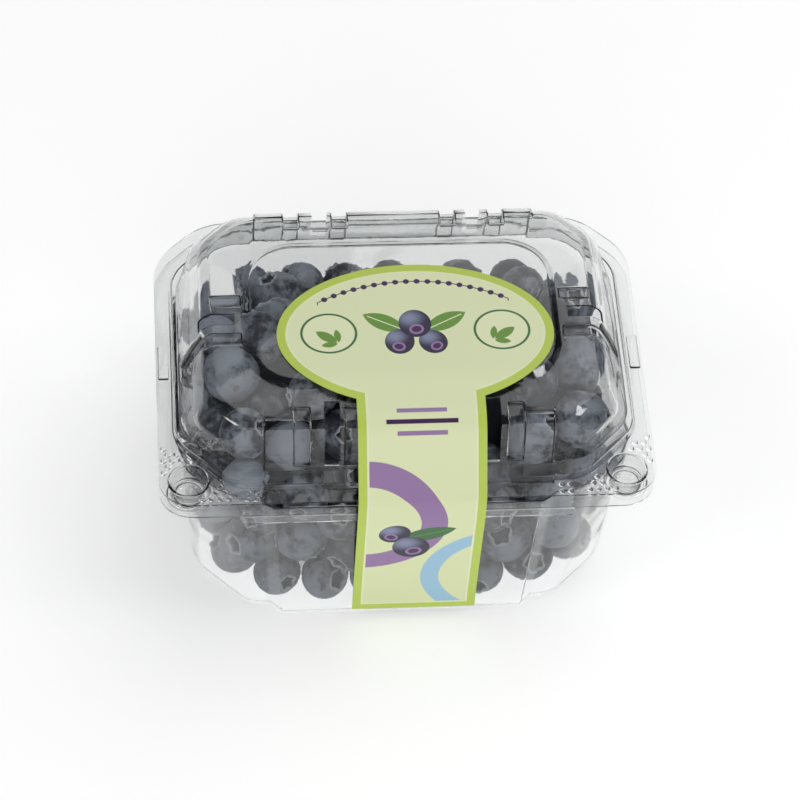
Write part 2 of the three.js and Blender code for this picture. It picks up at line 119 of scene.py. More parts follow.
class Bench:
    """A mesh on the bench in edit mode, whose parts are picked by place and normal."""

    def __init__(self, name: str) -> None:
        """Starts an empty mesh at the origin.

        Args:
            name: The object's name.
        """
        deselect_all()
        bpy.ops.mesh.primitive_plane_add(size=1, enter_editmode=True)
        self.obj = bpy.context.object
        self.obj.name = name
        bpy.ops.mesh.delete(type="VERT")

    def pick_faces(self, test: Test) -> int:
        """Selects the faces that pass a test of centre and normal.

        Args:
            test: The test.

        Returns:
            How many were picked.
        """
        bpy.ops.mesh.select_mode(type="FACE")
        bpy.ops.mesh.select_all(action="DESELECT")
        mesh = bmesh.from_edit_mesh(self.obj.data)
        mesh.normal_update()
        picked = [f for f in mesh.faces if test(f.calc_center_median(), f.normal)]
        for face in picked:
            face.select_set(True)
        bmesh.update_edit_mesh(self.obj.data)
        return len(picked)

    def pick_edges(self, test: Test) -> None:
        """Selects the edges whose ends pass a test.

        Args:
            test: The test of the places of both ends.
        """
        bpy.ops.mesh.select_mode(type="EDGE")
        bpy.ops.mesh.select_all(action="DESELECT")
        mesh = bmesh.from_edit_mesh(self.obj.data)
        picked = [e for e in mesh.edges if test(e.verts[0].co, e.verts[1].co)]
        for edge in picked:
            edge.select_set(True)
        bmesh.update_edit_mesh(self.obj.data)

    def pick_points(self, test: Callable[[Vector], bool]) -> None:
        """Selects the vertices that pass a test of place.

        Args:
            test: The test.
        """
        bpy.ops.mesh.select_mode(type="VERT")
        bpy.ops.mesh.select_all(action="DESELECT")
        mesh = bmesh.from_edit_mesh(self.obj.data)
        picked = [v for v in mesh.verts if test(v.co)]
        for vert in picked:
            vert.select_set(True)
        mesh.select_flush(True)
        bmesh.update_edit_mesh(self.obj.data)

    def slice(self, test: Test, at: Vector, normal: Vector) -> None:
        """Cuts the faces that pass a test with a plane.

        Args:
            test: The test of a face's centre and normal.
            at: A point of the plane.
            normal: The plane's normal.
        """
        if self.pick_faces(test):
            bpy.ops.mesh.bisect(plane_co=at, plane_no=normal, threshold=NEAR / 10)

    def seat(
        self, side: int, level: float, low: float, high: float, half: float, taper: float = 1.0
    ) -> None:
        """Opens the level face under a wall that was pushed over it, and welds its foot.

        Args:
            side: -1 or 1, the side of the pack.
            level: Height of the level face.
            low: The wall's depth before the push.
            high: Its depth now.
            half: Its half width before the push.
            taper: Share of the width that is left.
        """

        def near(c: Vector, n: Vector) -> bool:
            """Tells whether a face is level and beside the wall's foot."""
            return (
                abs(c.z - level) < NEAR
                and abs(n.z) > ALONG
                and abs(c.x) < half
                and side * c.y > low - NEAR
            )

        def between(c: Vector, n: Vector) -> bool:
            """Tells whether such a face lies under the pushed wall."""
            return near(c, n) and side * c.y < high

        self.slice(near, Vector((0, side * high, level)), Vector((0, 1, 0)))
        if taper < 1:
            for hand in SIDES:
                lean = Vector((side * (high - low), hand * half * (1 - taper), 0))
                self.slice(between, Vector((hand * half, side * low, level)), lean.normalized())
        self.pick_faces(lambda c, n: between(c, n) and abs(c.x) < half * taper)
        bpy.ops.mesh.delete(type="FACE")
        bpy.ops.mesh.select_mode(type="VERT")
        bpy.ops.mesh.select_all(action="SELECT")
        bpy.ops.mesh.remove_doubles(threshold=NEAR)

    def drop_turned(self, least: float, most: float) -> None:
        """Keeps the selected edges alone whose faces turn by an angle in a range.

        Args:
            least: The least angle between the faces, in radians.
            most: The most.
        """
        mesh = bmesh.from_edit_mesh(self.obj.data)
        mesh.normal_update()
        for edge in mesh.edges:
            if edge.select and not least <= edge.calc_face_angle(math.pi) <= most:
                edge.select_set(False)
        bmesh.update_edit_mesh(self.obj.data)

    def merge_level(self, side: int, level: float, low: float, half: float) -> None:
        """Merges the level faces beside a pushed wall.

        Args:
            side: -1 or 1, the side of the pack.
            level: Height of the faces.
            low: Their least depth.
            half: Half of their width.
        """

        def near(co: Vector) -> bool:
            """Tells whether a vertex lies on the level faces."""
            return (
                abs(co.z - level) < NEAR
                and abs(co.x) < half + NEAR
                and side * co.y > low - NEAR
            )

        self.pick_edges(lambda a, b: near(a) and near(b))
        self.drop_turned(0, FLAT)
        bpy.ops.mesh.dissolve_edges(use_verts=True)

    def push(self, move: Triple) -> None:
        """Extrudes what is selected and moves it."""
        bpy.ops.mesh.extrude_region_move(TRANSFORM_OT_translate={"value": move})

    def sink(self, depth: float) -> None:
        """Extrudes the selected faces inwards along their normals."""
        bpy.ops.mesh.extrude_region_shrink_fatten(
            TRANSFORM_OT_shrink_fatten={"value": -depth, "use_even_offset": True}
        )

    def round_edges(self, radius: float) -> None:
        """Bevels the selected edges."""
        bpy.ops.mesh.bevel(offset=radius, offset_type="OFFSET", segments=3, affect="EDGES")

    def leave(self) -> bpy.types.Object:
        """Ends edit mode and gives the object."""
        bpy.ops.object.mode_set(mode="OBJECT")
        return self.obj


def modify(obj: bpy.types.Object, kind: str, **settings: object) -> None:
    """Adds a modifier, sets it and applies it.

    Args:
        obj: The object.
        kind: The modifier's type.
        **settings: Its values.
    """
    take(obj)
    bpy.ops.object.modifier_add(type=kind)
    modifier = obj.modifiers[-1]
    for name, value in settings.items():
        setattr(modifier, name, value)
    bpy.ops.object.modifier_apply(modifier=modifier.name)


def combine(obj: bpy.types.Object, tool: bpy.types.Object, operation: str) -> None:
    """Adds a solid to an object or takes it away, and removes the tool."""
    modify(obj, "BOOLEAN", operation=operation, object=tool, solver="EXACT")
    bpy.data.objects.remove(tool)


def smooth(obj: bpy.types.Object, degrees: float) -> None:
    """Smooths the shading wherever faces meet at less than an angle."""
    take(obj)
    bpy.ops.object.shade_smooth_by_angle(angle=math.radians(degrees))


def finish_piece(
    obj: bpy.types.Object, material: bpy.types.Material, slot: str, *nodes: str
) -> None:
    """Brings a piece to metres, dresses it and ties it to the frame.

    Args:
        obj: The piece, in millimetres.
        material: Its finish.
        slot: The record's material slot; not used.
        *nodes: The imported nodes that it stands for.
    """
    take(obj)
    obj.scale = (MM, MM, MM)
    bpy.ops.object.transform_apply(location=True, rotation=True, scale=True)
    obj.data.materials.clear()
    obj.data.materials.append(material)
    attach(obj, ROOT)
    if nodes:
        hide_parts(*nodes)
    LOG.info("%s: %d faces", obj.name, len(obj.data.polygons))


def turned(name: str, centre: Pair, profile: Sequence[Pair], sides: int) -> bpy.types.Object:
    """Builds a closed round solid, extruded and scaled from ring to ring.

    Args:
        name: The object's name.
        centre: The axis in the plan.
        profile: Radius and height of each ring, lowest first.
        sides: Sides of a ring.

    Returns:
        The solid.
    """
    bench = Bench(name)
    radius, height = profile[0]
    bpy.ops.mesh.primitive_circle_add(
        vertices=sides, radius=radius, fill_type="NGON", location=(*centre, height)
    )
    for next_radius, next_height in profile[1:]:
        bench.push((0, 0, next_height - height))
        grow = next_radius / radius
        bpy.ops.transform.resize(value=(grow, grow, 1), center_override=(*centre, next_height))
        radius, height = next_radius, next_height
    bpy.ops.mesh.select_all(action="SELECT")
    bpy.ops.mesh.normals_make_consistent(inside=False)
    return bench.leave()


class Graph:
    """Adds and links the nodes of one tree."""

    def __init__(self, tree: bpy.types.NodeTree) -> None:
        """Keeps the tree."""
        self.tree = tree

    def add(self, kind: str, feeds: dict | None = None, **settings: object) -> bpy.types.Node:
        """Adds a node.

        Args:
            kind: The node's type, without its ShaderNode prefix.
            feeds: What goes into its inputs, by name or number.
            **settings: Its own settings.

        Returns:
            The node.
        """
        node = self.tree.nodes.new("ShaderNode" + kind)
        for name, value in settings.items():
            setattr(node, name, value)
        self.feed_all(node, feeds or {})
        return node

    def feed_all(self, node: bpy.types.Node, feeds: dict) -> None:
        """Feeds a node's inputs, by name or number."""
        for key, value in feeds.items():
            self.feed(node.inputs[key], value)

    def feed(self, socket: Socket, value: Feed) -> None:
        """Links a socket or sets its value.

        Args:
            socket: The input.
            value: A socket to link, or a value.
        """
        if isinstance(value, bpy.types.NodeSocket):
            self.tree.links.new(value, socket)
        else:
            socket.default_value = value

    def math(self, operation: str, *values: Feed, clamp: bool = False) -> Socket:
        """Adds a Math node and gives its result."""
        node = self.add("Math", dict(enumerate(values)), operation=operation, use_clamp=clamp)
        return node.outputs[0]

    def mix(self, share: Feed, low: Feed, high: Feed) -> Socket:
        """Mixes two colours and gives the result.

        Args:
            share: Share of the second.
            low: The first colour.
            high: The second.

        Returns:
            The mixed colour.
        """
        node = self.add("Mix", data_type="RGBA")
        for key, value in zip(("Factor", "A", "B"), (share, low, high)):
            kind = "VALUE" if key == "Factor" else "RGBA"
            socket = next(s for s in node.inputs if s.name == key and s.type == kind)
            self.feed(socket, value)
        return next(s for s in node.outputs if s.type == "RGBA")

    def spread(self, value: Feed, low: float, high: float) -> Socket:
        """Maps a range of values to 0 to 1, smoothly.

        Args:
            value: What is mapped.
            low: What becomes 0.
            high: What becomes 1.

        Returns:
            The mapped value.
        """
        node = self.add(
            "MapRange",
            {"Value": value, "From Min": low, "From Max": high},
            interpolation_type="SMOOTHSTEP",
        )
        return node.outputs[0]

    def noise(self, vector: Socket, scale: float, detail: float = 2, rough: float = 0.5) -> Socket:
        """Adds a Noise texture and gives its value."""
        feeds = {"Vector": vector, "Scale": scale, "Detail": detail, "Roughness": rough}
        return self.add("TexNoise", feeds).outputs[0]


def new_material(name: str) -> tuple[bpy.types.Material, Graph, bpy.types.Node]:
    """Starts a material.

    Args:
        name: The material's name.

    Returns:
        The material, its graph and its Principled shader.
    """
    material = bpy.data.materials.new(name)
    material.use_nodes = True
    graph = Graph(material.node_tree)
    return material, graph, material.node_tree.nodes["Principled BSDF"]


def linear(red: int, green: int, blue: int) -> Colour:
    """Gives a screen colour, 0 to 255, as a linear one with alpha.

    Args:
        red: Red, 0 to 255.
        green: Green, 0 to 255.
        blue: Blue, 0 to 255.

    Returns:
        The colour.
    """

    def channel(value: int) -> float:
        """Gives one channel as a linear share."""
        share = value / 255
        return share / 12.92 if share <= 0.04045 else ((share + 0.055) / 1.055) ** 2.4

    return (channel(red), channel(green), channel(blue), 1.0)


def ripple_group() -> bpy.types.NodeTree:
    """Builds the slow ripple and fine scuffing that every formed or printed sheet has.

    Returns:
        The node group, with inputs Scale, Depth and Fine, and outputs Normal and Scuff.
    """
    tree = bpy.data.node_groups.new("sheet_ripple", "ShaderNodeTree")
    for name, value in (("Scale", 60.0), ("Depth", 0.2), ("Fine", 900.0)):
        socket = tree.interface.new_socket(name, in_out="INPUT", socket_type="NodeSocketFloat")
        socket.default_value = value
    tree.interface.new_socket("Normal", in_out="OUTPUT", socket_type="NodeSocketVector")
    tree.interface.new_socket("Scuff", in_out="OUTPUT", socket_type="NodeSocketFloat")
    graph = Graph(tree)
    given = tree.nodes.new("NodeGroupInput")
    result = tree.nodes.new("NodeGroupOutput")
    place = graph.add("TexCoord").outputs["Object"]
    slow = graph.add("TexNoise", {"Vector": place, "Scale": given.outputs["Scale"], "Detail": 1.0})
    fine = graph.add("TexNoise", {"Vector": place, "Scale": given.outputs["Fine"], "Detail": 2.0})
    fine_share = 0.04
    height = graph.math("MULTIPLY_ADD", fine.outputs[0], fine_share, slow.outputs[0])
    bump = graph.add("Bump", {"Height": height, "Strength": given.outputs["Depth"], "Distance": MM})
    graph.feed(result.inputs["Normal"], bump.outputs[0])
    graph.feed(result.inputs["Scuff"], graph.spread(fine.outputs[0], 0.35, 0.7))
    return tree


@dataclass(frozen=True)
class ClearSheet:
    """Finish of the clear formed plastic."""

    name: str
    tint: Colour = (0.87, 0.88, 0.878, 1.0)
    index: float = 1.44
    roughest: float = 0.035
    ripple_depth: float = 0.22
    ripple_scale: float = 70.0

    def build(self, ripple: bpy.types.NodeTree) -> bpy.types.Material:
        """Builds the material.

        Args:
            ripple: The shared ripple group.

        Returns:
            The material.
        """
        material, graph, shader = new_material(self.name)
        relief = graph.add("Group", node_tree=ripple)
        graph.feed_all(relief, {"Scale": self.ripple_scale, "Depth": self.ripple_depth})
        looks = {
            "Base Color": self.tint,
            "Transmission Weight": 1.0,
            "IOR": self.index,
            "Roughness": graph.math("MULTIPLY", relief.outputs["Scuff"], self.roughest),
            "Normal": relief.outputs["Normal"],
        }
        graph.feed_all(shader, looks)
        shadow = graph.add("LightPath").outputs["Is Shadow Ray"]
        passing = graph.add("BsdfTransparent", {"Color": self.tint})
        mixed = graph.add("MixShader", {0: shadow, 1: shader.outputs[0], 2: passing.outputs[0]})
        output = material.node_tree.nodes["Material Output"]
        graph.feed_all(output, {"Surface": mixed.outputs[0]})
        return material


@dataclass(frozen=True)
class BerrySkin:
    """Finish of the berries: dark skin under a patchy pale bloom."""

    name: str = "berry_skin"
    dark: Colour = linear(26, 28, 36)
    deep: Colour = linear(46, 49, 60)
    bloom: Colour = linear(124, 130, 141)
    rim: Colour = linear(170, 174, 180)
    scar: Colour = linear(98, 84, 70)
    pit: Colour = linear(25, 24, 29)
    cloud_scale: float = 190.0
    rub_scale: float = 420.0
    grain_scale: float = 2600.0
    rub_share: float = 0.45
    tone_share: float = 0.34
    bloom_range: Pair = (0.76, 1.02)
    bloom_most: float = 0.86
    speck_most: float = 0.25
    rim_most: float = 0.85
    pit_most: float = 0.95
    scar_most: float = 0.8
    relief: float = 0.35
    roughness: Pair = (0.42, 0.64)
    shine: float = 0.35

    def build(self) -> bpy.types.Material:
        """Builds the material from the berries' own attributes.

        Returns:
            The material.
        """
        material, graph, shader = new_material(self.name)
        place = graph.add("TexCoord").outputs["Object"]
        tone, crown, pit, scar = (
            graph.add("Attribute", attribute_name=name).outputs["Fac"]
            for name in ("tone", "crown", "pit", "scar")
        )
        clouds = graph.noise(place, self.cloud_scale, 4, 0.6)
        rubbed = graph.noise(place, self.rub_scale, 3, 0.65)
        grain = graph.noise(place, self.grain_scale, 2)
        patches = graph.math("MULTIPLY_ADD", rubbed, self.rub_share, clouds)
        dusted = graph.math("MULTIPLY_ADD", tone, self.tone_share, patches)
        share = graph.spread(dusted, *self.bloom_range)
        colour = graph.mix(graph.spread(rubbed, 0.35, 0.65), self.dark, self.deep)
        edge = graph.math("MULTIPLY", crown, graph.spread(rubbed, 0.2, 0.5))
        for mask, most, layer in (
            (share, self.bloom_most, self.bloom),
            (graph.spread(grain, 0.62, 0.75), self.speck_most, self.dark),
            (edge, self.rim_most, self.rim),
            (pit, self.pit_most, self.pit),
            (scar, self.scar_most, self.scar),
        ):
            colour = graph.mix(graph.math("MULTIPLY", mask, most), colour, layer)
        height = graph.math("MULTIPLY_ADD", grain, 0.25, clouds)
        bump = graph.add("Bump", {"Height": height, "Strength": self.relief, "Distance": MM / 2})
        smooth_skin, rough_skin = self.roughness
        rough = graph.math("MULTIPLY_ADD", share, rough_skin - smooth_skin, smooth_skin)
        looks = {
            "Base Color": colour,
            "Roughness": rough,
            "Normal": bump.outputs[0],
            "Specular IOR Level": self.shine,
        }
        graph.feed_all(shader, looks)
        return material


@dataclass(frozen=True)
class HeapShade:
    """Finish of the heap's core, which shows only as shade between berries."""

    name: str = "heap_shade"
    colour: Colour = linear(26, 28, 36)
    lit: Colour = linear(44, 47, 60)
    roughness: float = 0.8
    cloud_scale: float = 160.0

    def build(self) -> bpy.types.Material:
        """Builds the material.

        Returns:
            The material.
        """
        material, graph, shader = new_material(self.name)
        place = graph.add("TexCoord").outputs["Object"]
        colour = graph.mix(graph.noise(place, self.cloud_scale, 3), self.colour, self.lit)
        graph.feed_all(shader, {"Base Color": colour, "Roughness": self.roughness})
        return material


@dataclass(frozen=True)
class Section:
    """A level outline of the sheet: a rectangle with bevelled and softened corners."""

    z: float
    half_width: float
    half_depth: float
    cut: float
    soft: float
    back_depth: float | None = None
    back_cut: float | None = None
    back_soft: float | None = None

    def corners(self) -> list[tuple[float, float, float, float]]:
        """Gives x, y, cut and soft of the four corners.

        Returns:
            The corners, front and back of each side.
        """
        back = (
            self.back_depth or self.half_depth,
            self.back_cut or self.cut,
            self.back_soft or self.soft,
        )
        front = (-self.half_depth, self.cut, self.soft)
        return [(hand * self.half_width, *row) for hand in SIDES for row in (front, back)]


class FormedSheet:
    """A sheet drawn from ring to ring, then cut, pushed and rounded."""

    corner_steps = 4
    lift = 1.0
    sharp_angle = math.radians(32)

    def __init__(self, name: str) -> None:
        """Starts the sheet's mesh.

        Args:
            name: The object's name.
        """
        self.bench = Bench(name)
        self.rings = 0
        self.level = math.inf

    def _bevel_corner(self, at: Sequence[Pair], z: float, size: float, steps: int) -> None:
        """Bevels the vertices of a ring at some points of the plan.

        Args:
            at: Points of the plan.
            z: The ring's height.
            size: The bevel's length along the edges.
            steps: Segments of the bevel.
        """
        self.bench.pick_points(
            lambda co: abs(co.z - z) < NEAR
            and any(abs(co.x - x) < NEAR and abs(co.y - y) < NEAR for x, y in at)
        )
        bpy.ops.mesh.bevel(
            offset=size, offset_type="OFFSET", segments=steps, affect="VERTICES", profile=0.5
        )

    def ring(self, section: Section) -> None:
        """Adds a ring and bridges it to the one before.

        A ring at the level of the one before is bridged from above it and then
        lowered, because two rings in one plane would be bridged with a twist.

        Args:
            section: The ring's outline.
        """
        lift = self.lift if abs(section.z - self.level) < NEAR else 0.0
        self.level = section.z
        section = replace(section, z=section.z + lift)
        z = section.z
        bpy.ops.mesh.select_all(action="DESELECT")
        bpy.ops.mesh.primitive_plane_add(size=2, location=(0, 0, z))
        size = (section.half_width, section.half_depth, 1)
        bpy.ops.transform.resize(value=size, center_override=(0, 0, z))
        group = f"ring_{self.rings}"
        self.bench.obj.vertex_groups.new(name=group)
        bpy.ops.object.vertex_group_assign()
        if section.back_depth:
            self._shift_back(section)
        for x, y, cut, _ in section.corners():
            self._bevel_corner([(x, y)], z, cut, 1)
        for x, y, cut, soft in section.corners():
            ends = [(x - math.copysign(cut, x), y), (x, y - math.copysign(cut, y))]
            self._bevel_corner(ends, z, soft, self.corner_steps)
        self.pick_rings(self.rings)
        bpy.ops.mesh.delete(type="ONLY_FACE")
        if self.rings:
            self.pick_rings(self.rings - 1, self.rings)
            bpy.ops.mesh.bridge_edge_loops()
        self.pick_rings(self.rings)
        bpy.ops.transform.translate(value=(0, 0, -lift))
        self.rings += 1

    def _shift_back(self, section: Section) -> None:
        """Moves the ring's back edge to its own depth.

        Args:
            section: The ring's outline.
        """
        shift = section.back_depth - section.half_depth
        self.bench.pick_points(
            lambda co: abs(co.z - section.z) < NEAR
            and abs(abs(co.x) - section.half_width) < NEAR
            and abs(co.y - section.half_depth) < NEAR
        )
        bpy.ops.transform.translate(value=(0, shift, 0))

    def pick_rings(self, *numbers: int) -> None:
        """Selects whole rings.

        Args:
            *numbers: The rings' numbers.
        """
        bpy.ops.mesh.select_mode(type="VERT")
        bpy.ops.mesh.select_all(action="DESELECT")
        for number in numbers:
            bpy.ops.object.vertex_group_set_active(group=f"ring_{number}")
            bpy.ops.object.vertex_group_select()

    def cap(self) -> None:
        """Closes the last ring with a face."""
        self.pick_rings(self.rings - 1)
        bpy.ops.mesh.edge_face_add()

    def face(self, upwards: bool) -> None:
        """Turns all faces so that the cap points up or down.

        Args:
            upwards: Whether the cap is to point up.
        """
        bpy.ops.mesh.select_all(action="SELECT")
        bpy.ops.mesh.normals_make_consistent(inside=False)
        mesh = bmesh.from_edit_mesh(self.bench.obj.data)
        cap = max(mesh.faces, key=lambda f: len(f.verts))
        cap.normal_update()
        if (cap.normal.z > 0) != upwards:
            bpy.ops.mesh.flip_normals()

    def round_rings(self, folds: dict[int, Fold]) -> None:
        """Rounds the folds along some rings.

        Args:
            folds: The radius of each ring, by its number.
        """
        for number, fold in folds.items():
            self.pick_rings(number)
            bpy.ops.mesh.select_mode(type="EDGE")
            self.bench.drop_turned(FLAT, math.pi)
            bpy.ops.transform.edge_bevelweight(value=fold.value / Fold.ROUND.value)
        obj = self.bench.leave()
        modify(obj, "BEVEL", width=Fold.ROUND.value, segments=4, limit_method="WEIGHT")
        obj.data.attributes.remove(obj.data.attributes["bevel_weight_edge"])
        bpy.ops.object.mode_set(mode="EDIT")

    def thicken(self, thickness: float) -> bpy.types.Object:
        """Rounds what is still sharp and gives the sheet its thickness.

        Args:
            thickness: The sheet's thickness.

        Returns:
            The sheet.
        """
        obj = self.bench.leave()
        obj.vertex_groups.clear()
        faces = [tuple(face.vertices) for face in obj.data.polygons]
        sharp = BVHTree.FromPolygons([vert.co.copy() for vert in obj.data.vertices], faces)
        # Short edges would hold a clamped bevel back, so it isn't clamped.
        modify(
            obj,
            "BEVEL",
            width=Fold.CRISP.value,
            segments=2,
            limit_method="ANGLE",
            angle_limit=self.sharp_angle,
            use_clamp_overlap=False,
        )
        for vert in obj.data.vertices:
            spot, _, _, stray = sharp.find_nearest(vert.co)
            if stray > STRAY:
                vert.co = spot
        take(obj)
        bpy.ops.object.mode_set(mode="EDIT")
        bpy.ops.mesh.select_all(action="SELECT")
        bpy.ops.mesh.remove_doubles(threshold=NEAR / 10)
        bpy.ops.object.mode_set(mode="OBJECT")
        modify(obj, "SOLIDIFY", thickness=thickness, offset=-1.0, use_quality_normals=True)
        return obj


@dataclass(frozen=True)
class PressStud:
    """A press stud of the front corners: a cup of the lid that sits in one of the tray."""

    x: float = 52.8
    y: float = -37.8
    mouth: float = 4.5
    foot: float = 3.4
    foot_z: float = 46.8
    lip: float = 0.55
    lip_rise: float = 0.42
    sides: int = 48
    # How far in and up the rounded foot goes, and the mouth of the room inside.
    heel: tuple[Pair, ...] = ((1.1, 0.0), (0.5, 0.12), (0.1, 0.5), (0.0, 1.1))
    rim: tuple[Pair, ...] = ((-0.1, -0.6), (0.02, -0.1), (0.22, 0.26), (0.6, 0.6))

    def add_to(self, sheet: bpy.types.Object, top: float, wall: float, fit: float) -> None:
        """Presses both cups into a flange.

        Args:
            sheet: The lid or the tray.
            top: Height of the flange's top face.
            wall: Thickness of the cup's wall.
            fit: What the cup stands off from the lid's.
        """
        low = self.foot_z - fit
        mouth, foot = self.mouth + fit, self.foot + fit
        outer = [
            *((foot - inset, low + rise) for inset, rise in self.heel),
            (mouth, top - wall - 0.5),
            (mouth + self.lip, top - wall / 2),
            (mouth + self.lip, top + 0.12),
            (mouth + self.lip * 0.7, top + 0.34),
            (mouth + self.lip * 0.2, top + self.lip_rise),
            (mouth - wall, top + self.lip_rise),
        ]
        inner = [(foot - inset - wall, low + wall + rise) for inset, rise in self.heel]
        inner += [(mouth - wall + out, top + rise) for out, rise in self.rim]
        for hand in SIDES:
            centre = (hand * self.x, self.y)
            combine(sheet, turned("stud", centre, outer, self.sides), "UNION")
            combine(sheet, turned("stud_room", centre, inner, self.sides), "DIFFERENCE")


@dataclass(frozen=True)
class Dimples:
    """Small raised dots of the lid's flange, in groups around the press studs."""

    radius: float = 0.74
    rise: float = 0.5
    pitch: float = 2.1
    groups: tuple[Pair, ...] = ((56.6, -31.6), (46.4, -41.6))
    spread: int = 2
    squeeze: float = 0.86
    marks: Pair = (36.6, -43.9)
    far: Pair = (58.9, 44.1)
    stud_room: float = 6.2
    wall_reach: float = 84.6
    sides: int = 12

    def _fits(self, x: float, y: float, stud: PressStud) -> bool:
        """Tells whether a dot lies on the flange, clear of the stud and the wall.

        Args:
            x: The dot's place across.
            y: Its place in depth.
            stud: The press stud.

        Returns:
            Whether it fits.
        """
        return (
            x < self.far[0]
            and -y < self.far[1]
            and x - y > self.wall_reach
            and math.dist((x, y), (stud.x, stud.y)) > self.stud_room
        )

    def places(self, stud: PressStud) -> list[Pair]:
        """Gives the dots' places in the plan, round a stud.

        Args:
            stud: The press stud.

        Returns:
            The places, on both sides.
        """
        steps = range(-self.spread, self.spread + 1)
        found = [
            (self.marks[0] + column * self.pitch, self.marks[1] + row * self.pitch)
            for column in (0, 1)
            for row in (0, 1)
        ]
        for x, y in self.groups:
            for row in steps:
                for column in steps:
                    across = (column + 0.5 * (row % 2)) * self.pitch
                    along = row * self.pitch * self.squeeze
                    if self._fits(x + across, y + along, stud):
                        found.append((x + across, y + along))
        return [(hand * x, y) for hand in SIDES for x, y in found]

    def add_to(self, sheet: bpy.types.Object, top: float, stud: PressStud) -> None:
        """Raises the dots on a flange.

        Args:
            sheet: The lid.
            top: Height of the flange's top face.
            stud: The press stud that they stand round.
        """
        profile = [
            (self.radius, top - 0.15),
            (self.radius, top + self.rise * 0.25),
            (self.radius * 0.8, top + self.rise * 0.72),
            (self.radius * 0.35, top + self.rise),
        ]
        dots = [turned("dimple", place, profile, self.sides) for place in self.places(stud)]
        combine(sheet, join(dots), "UNION")


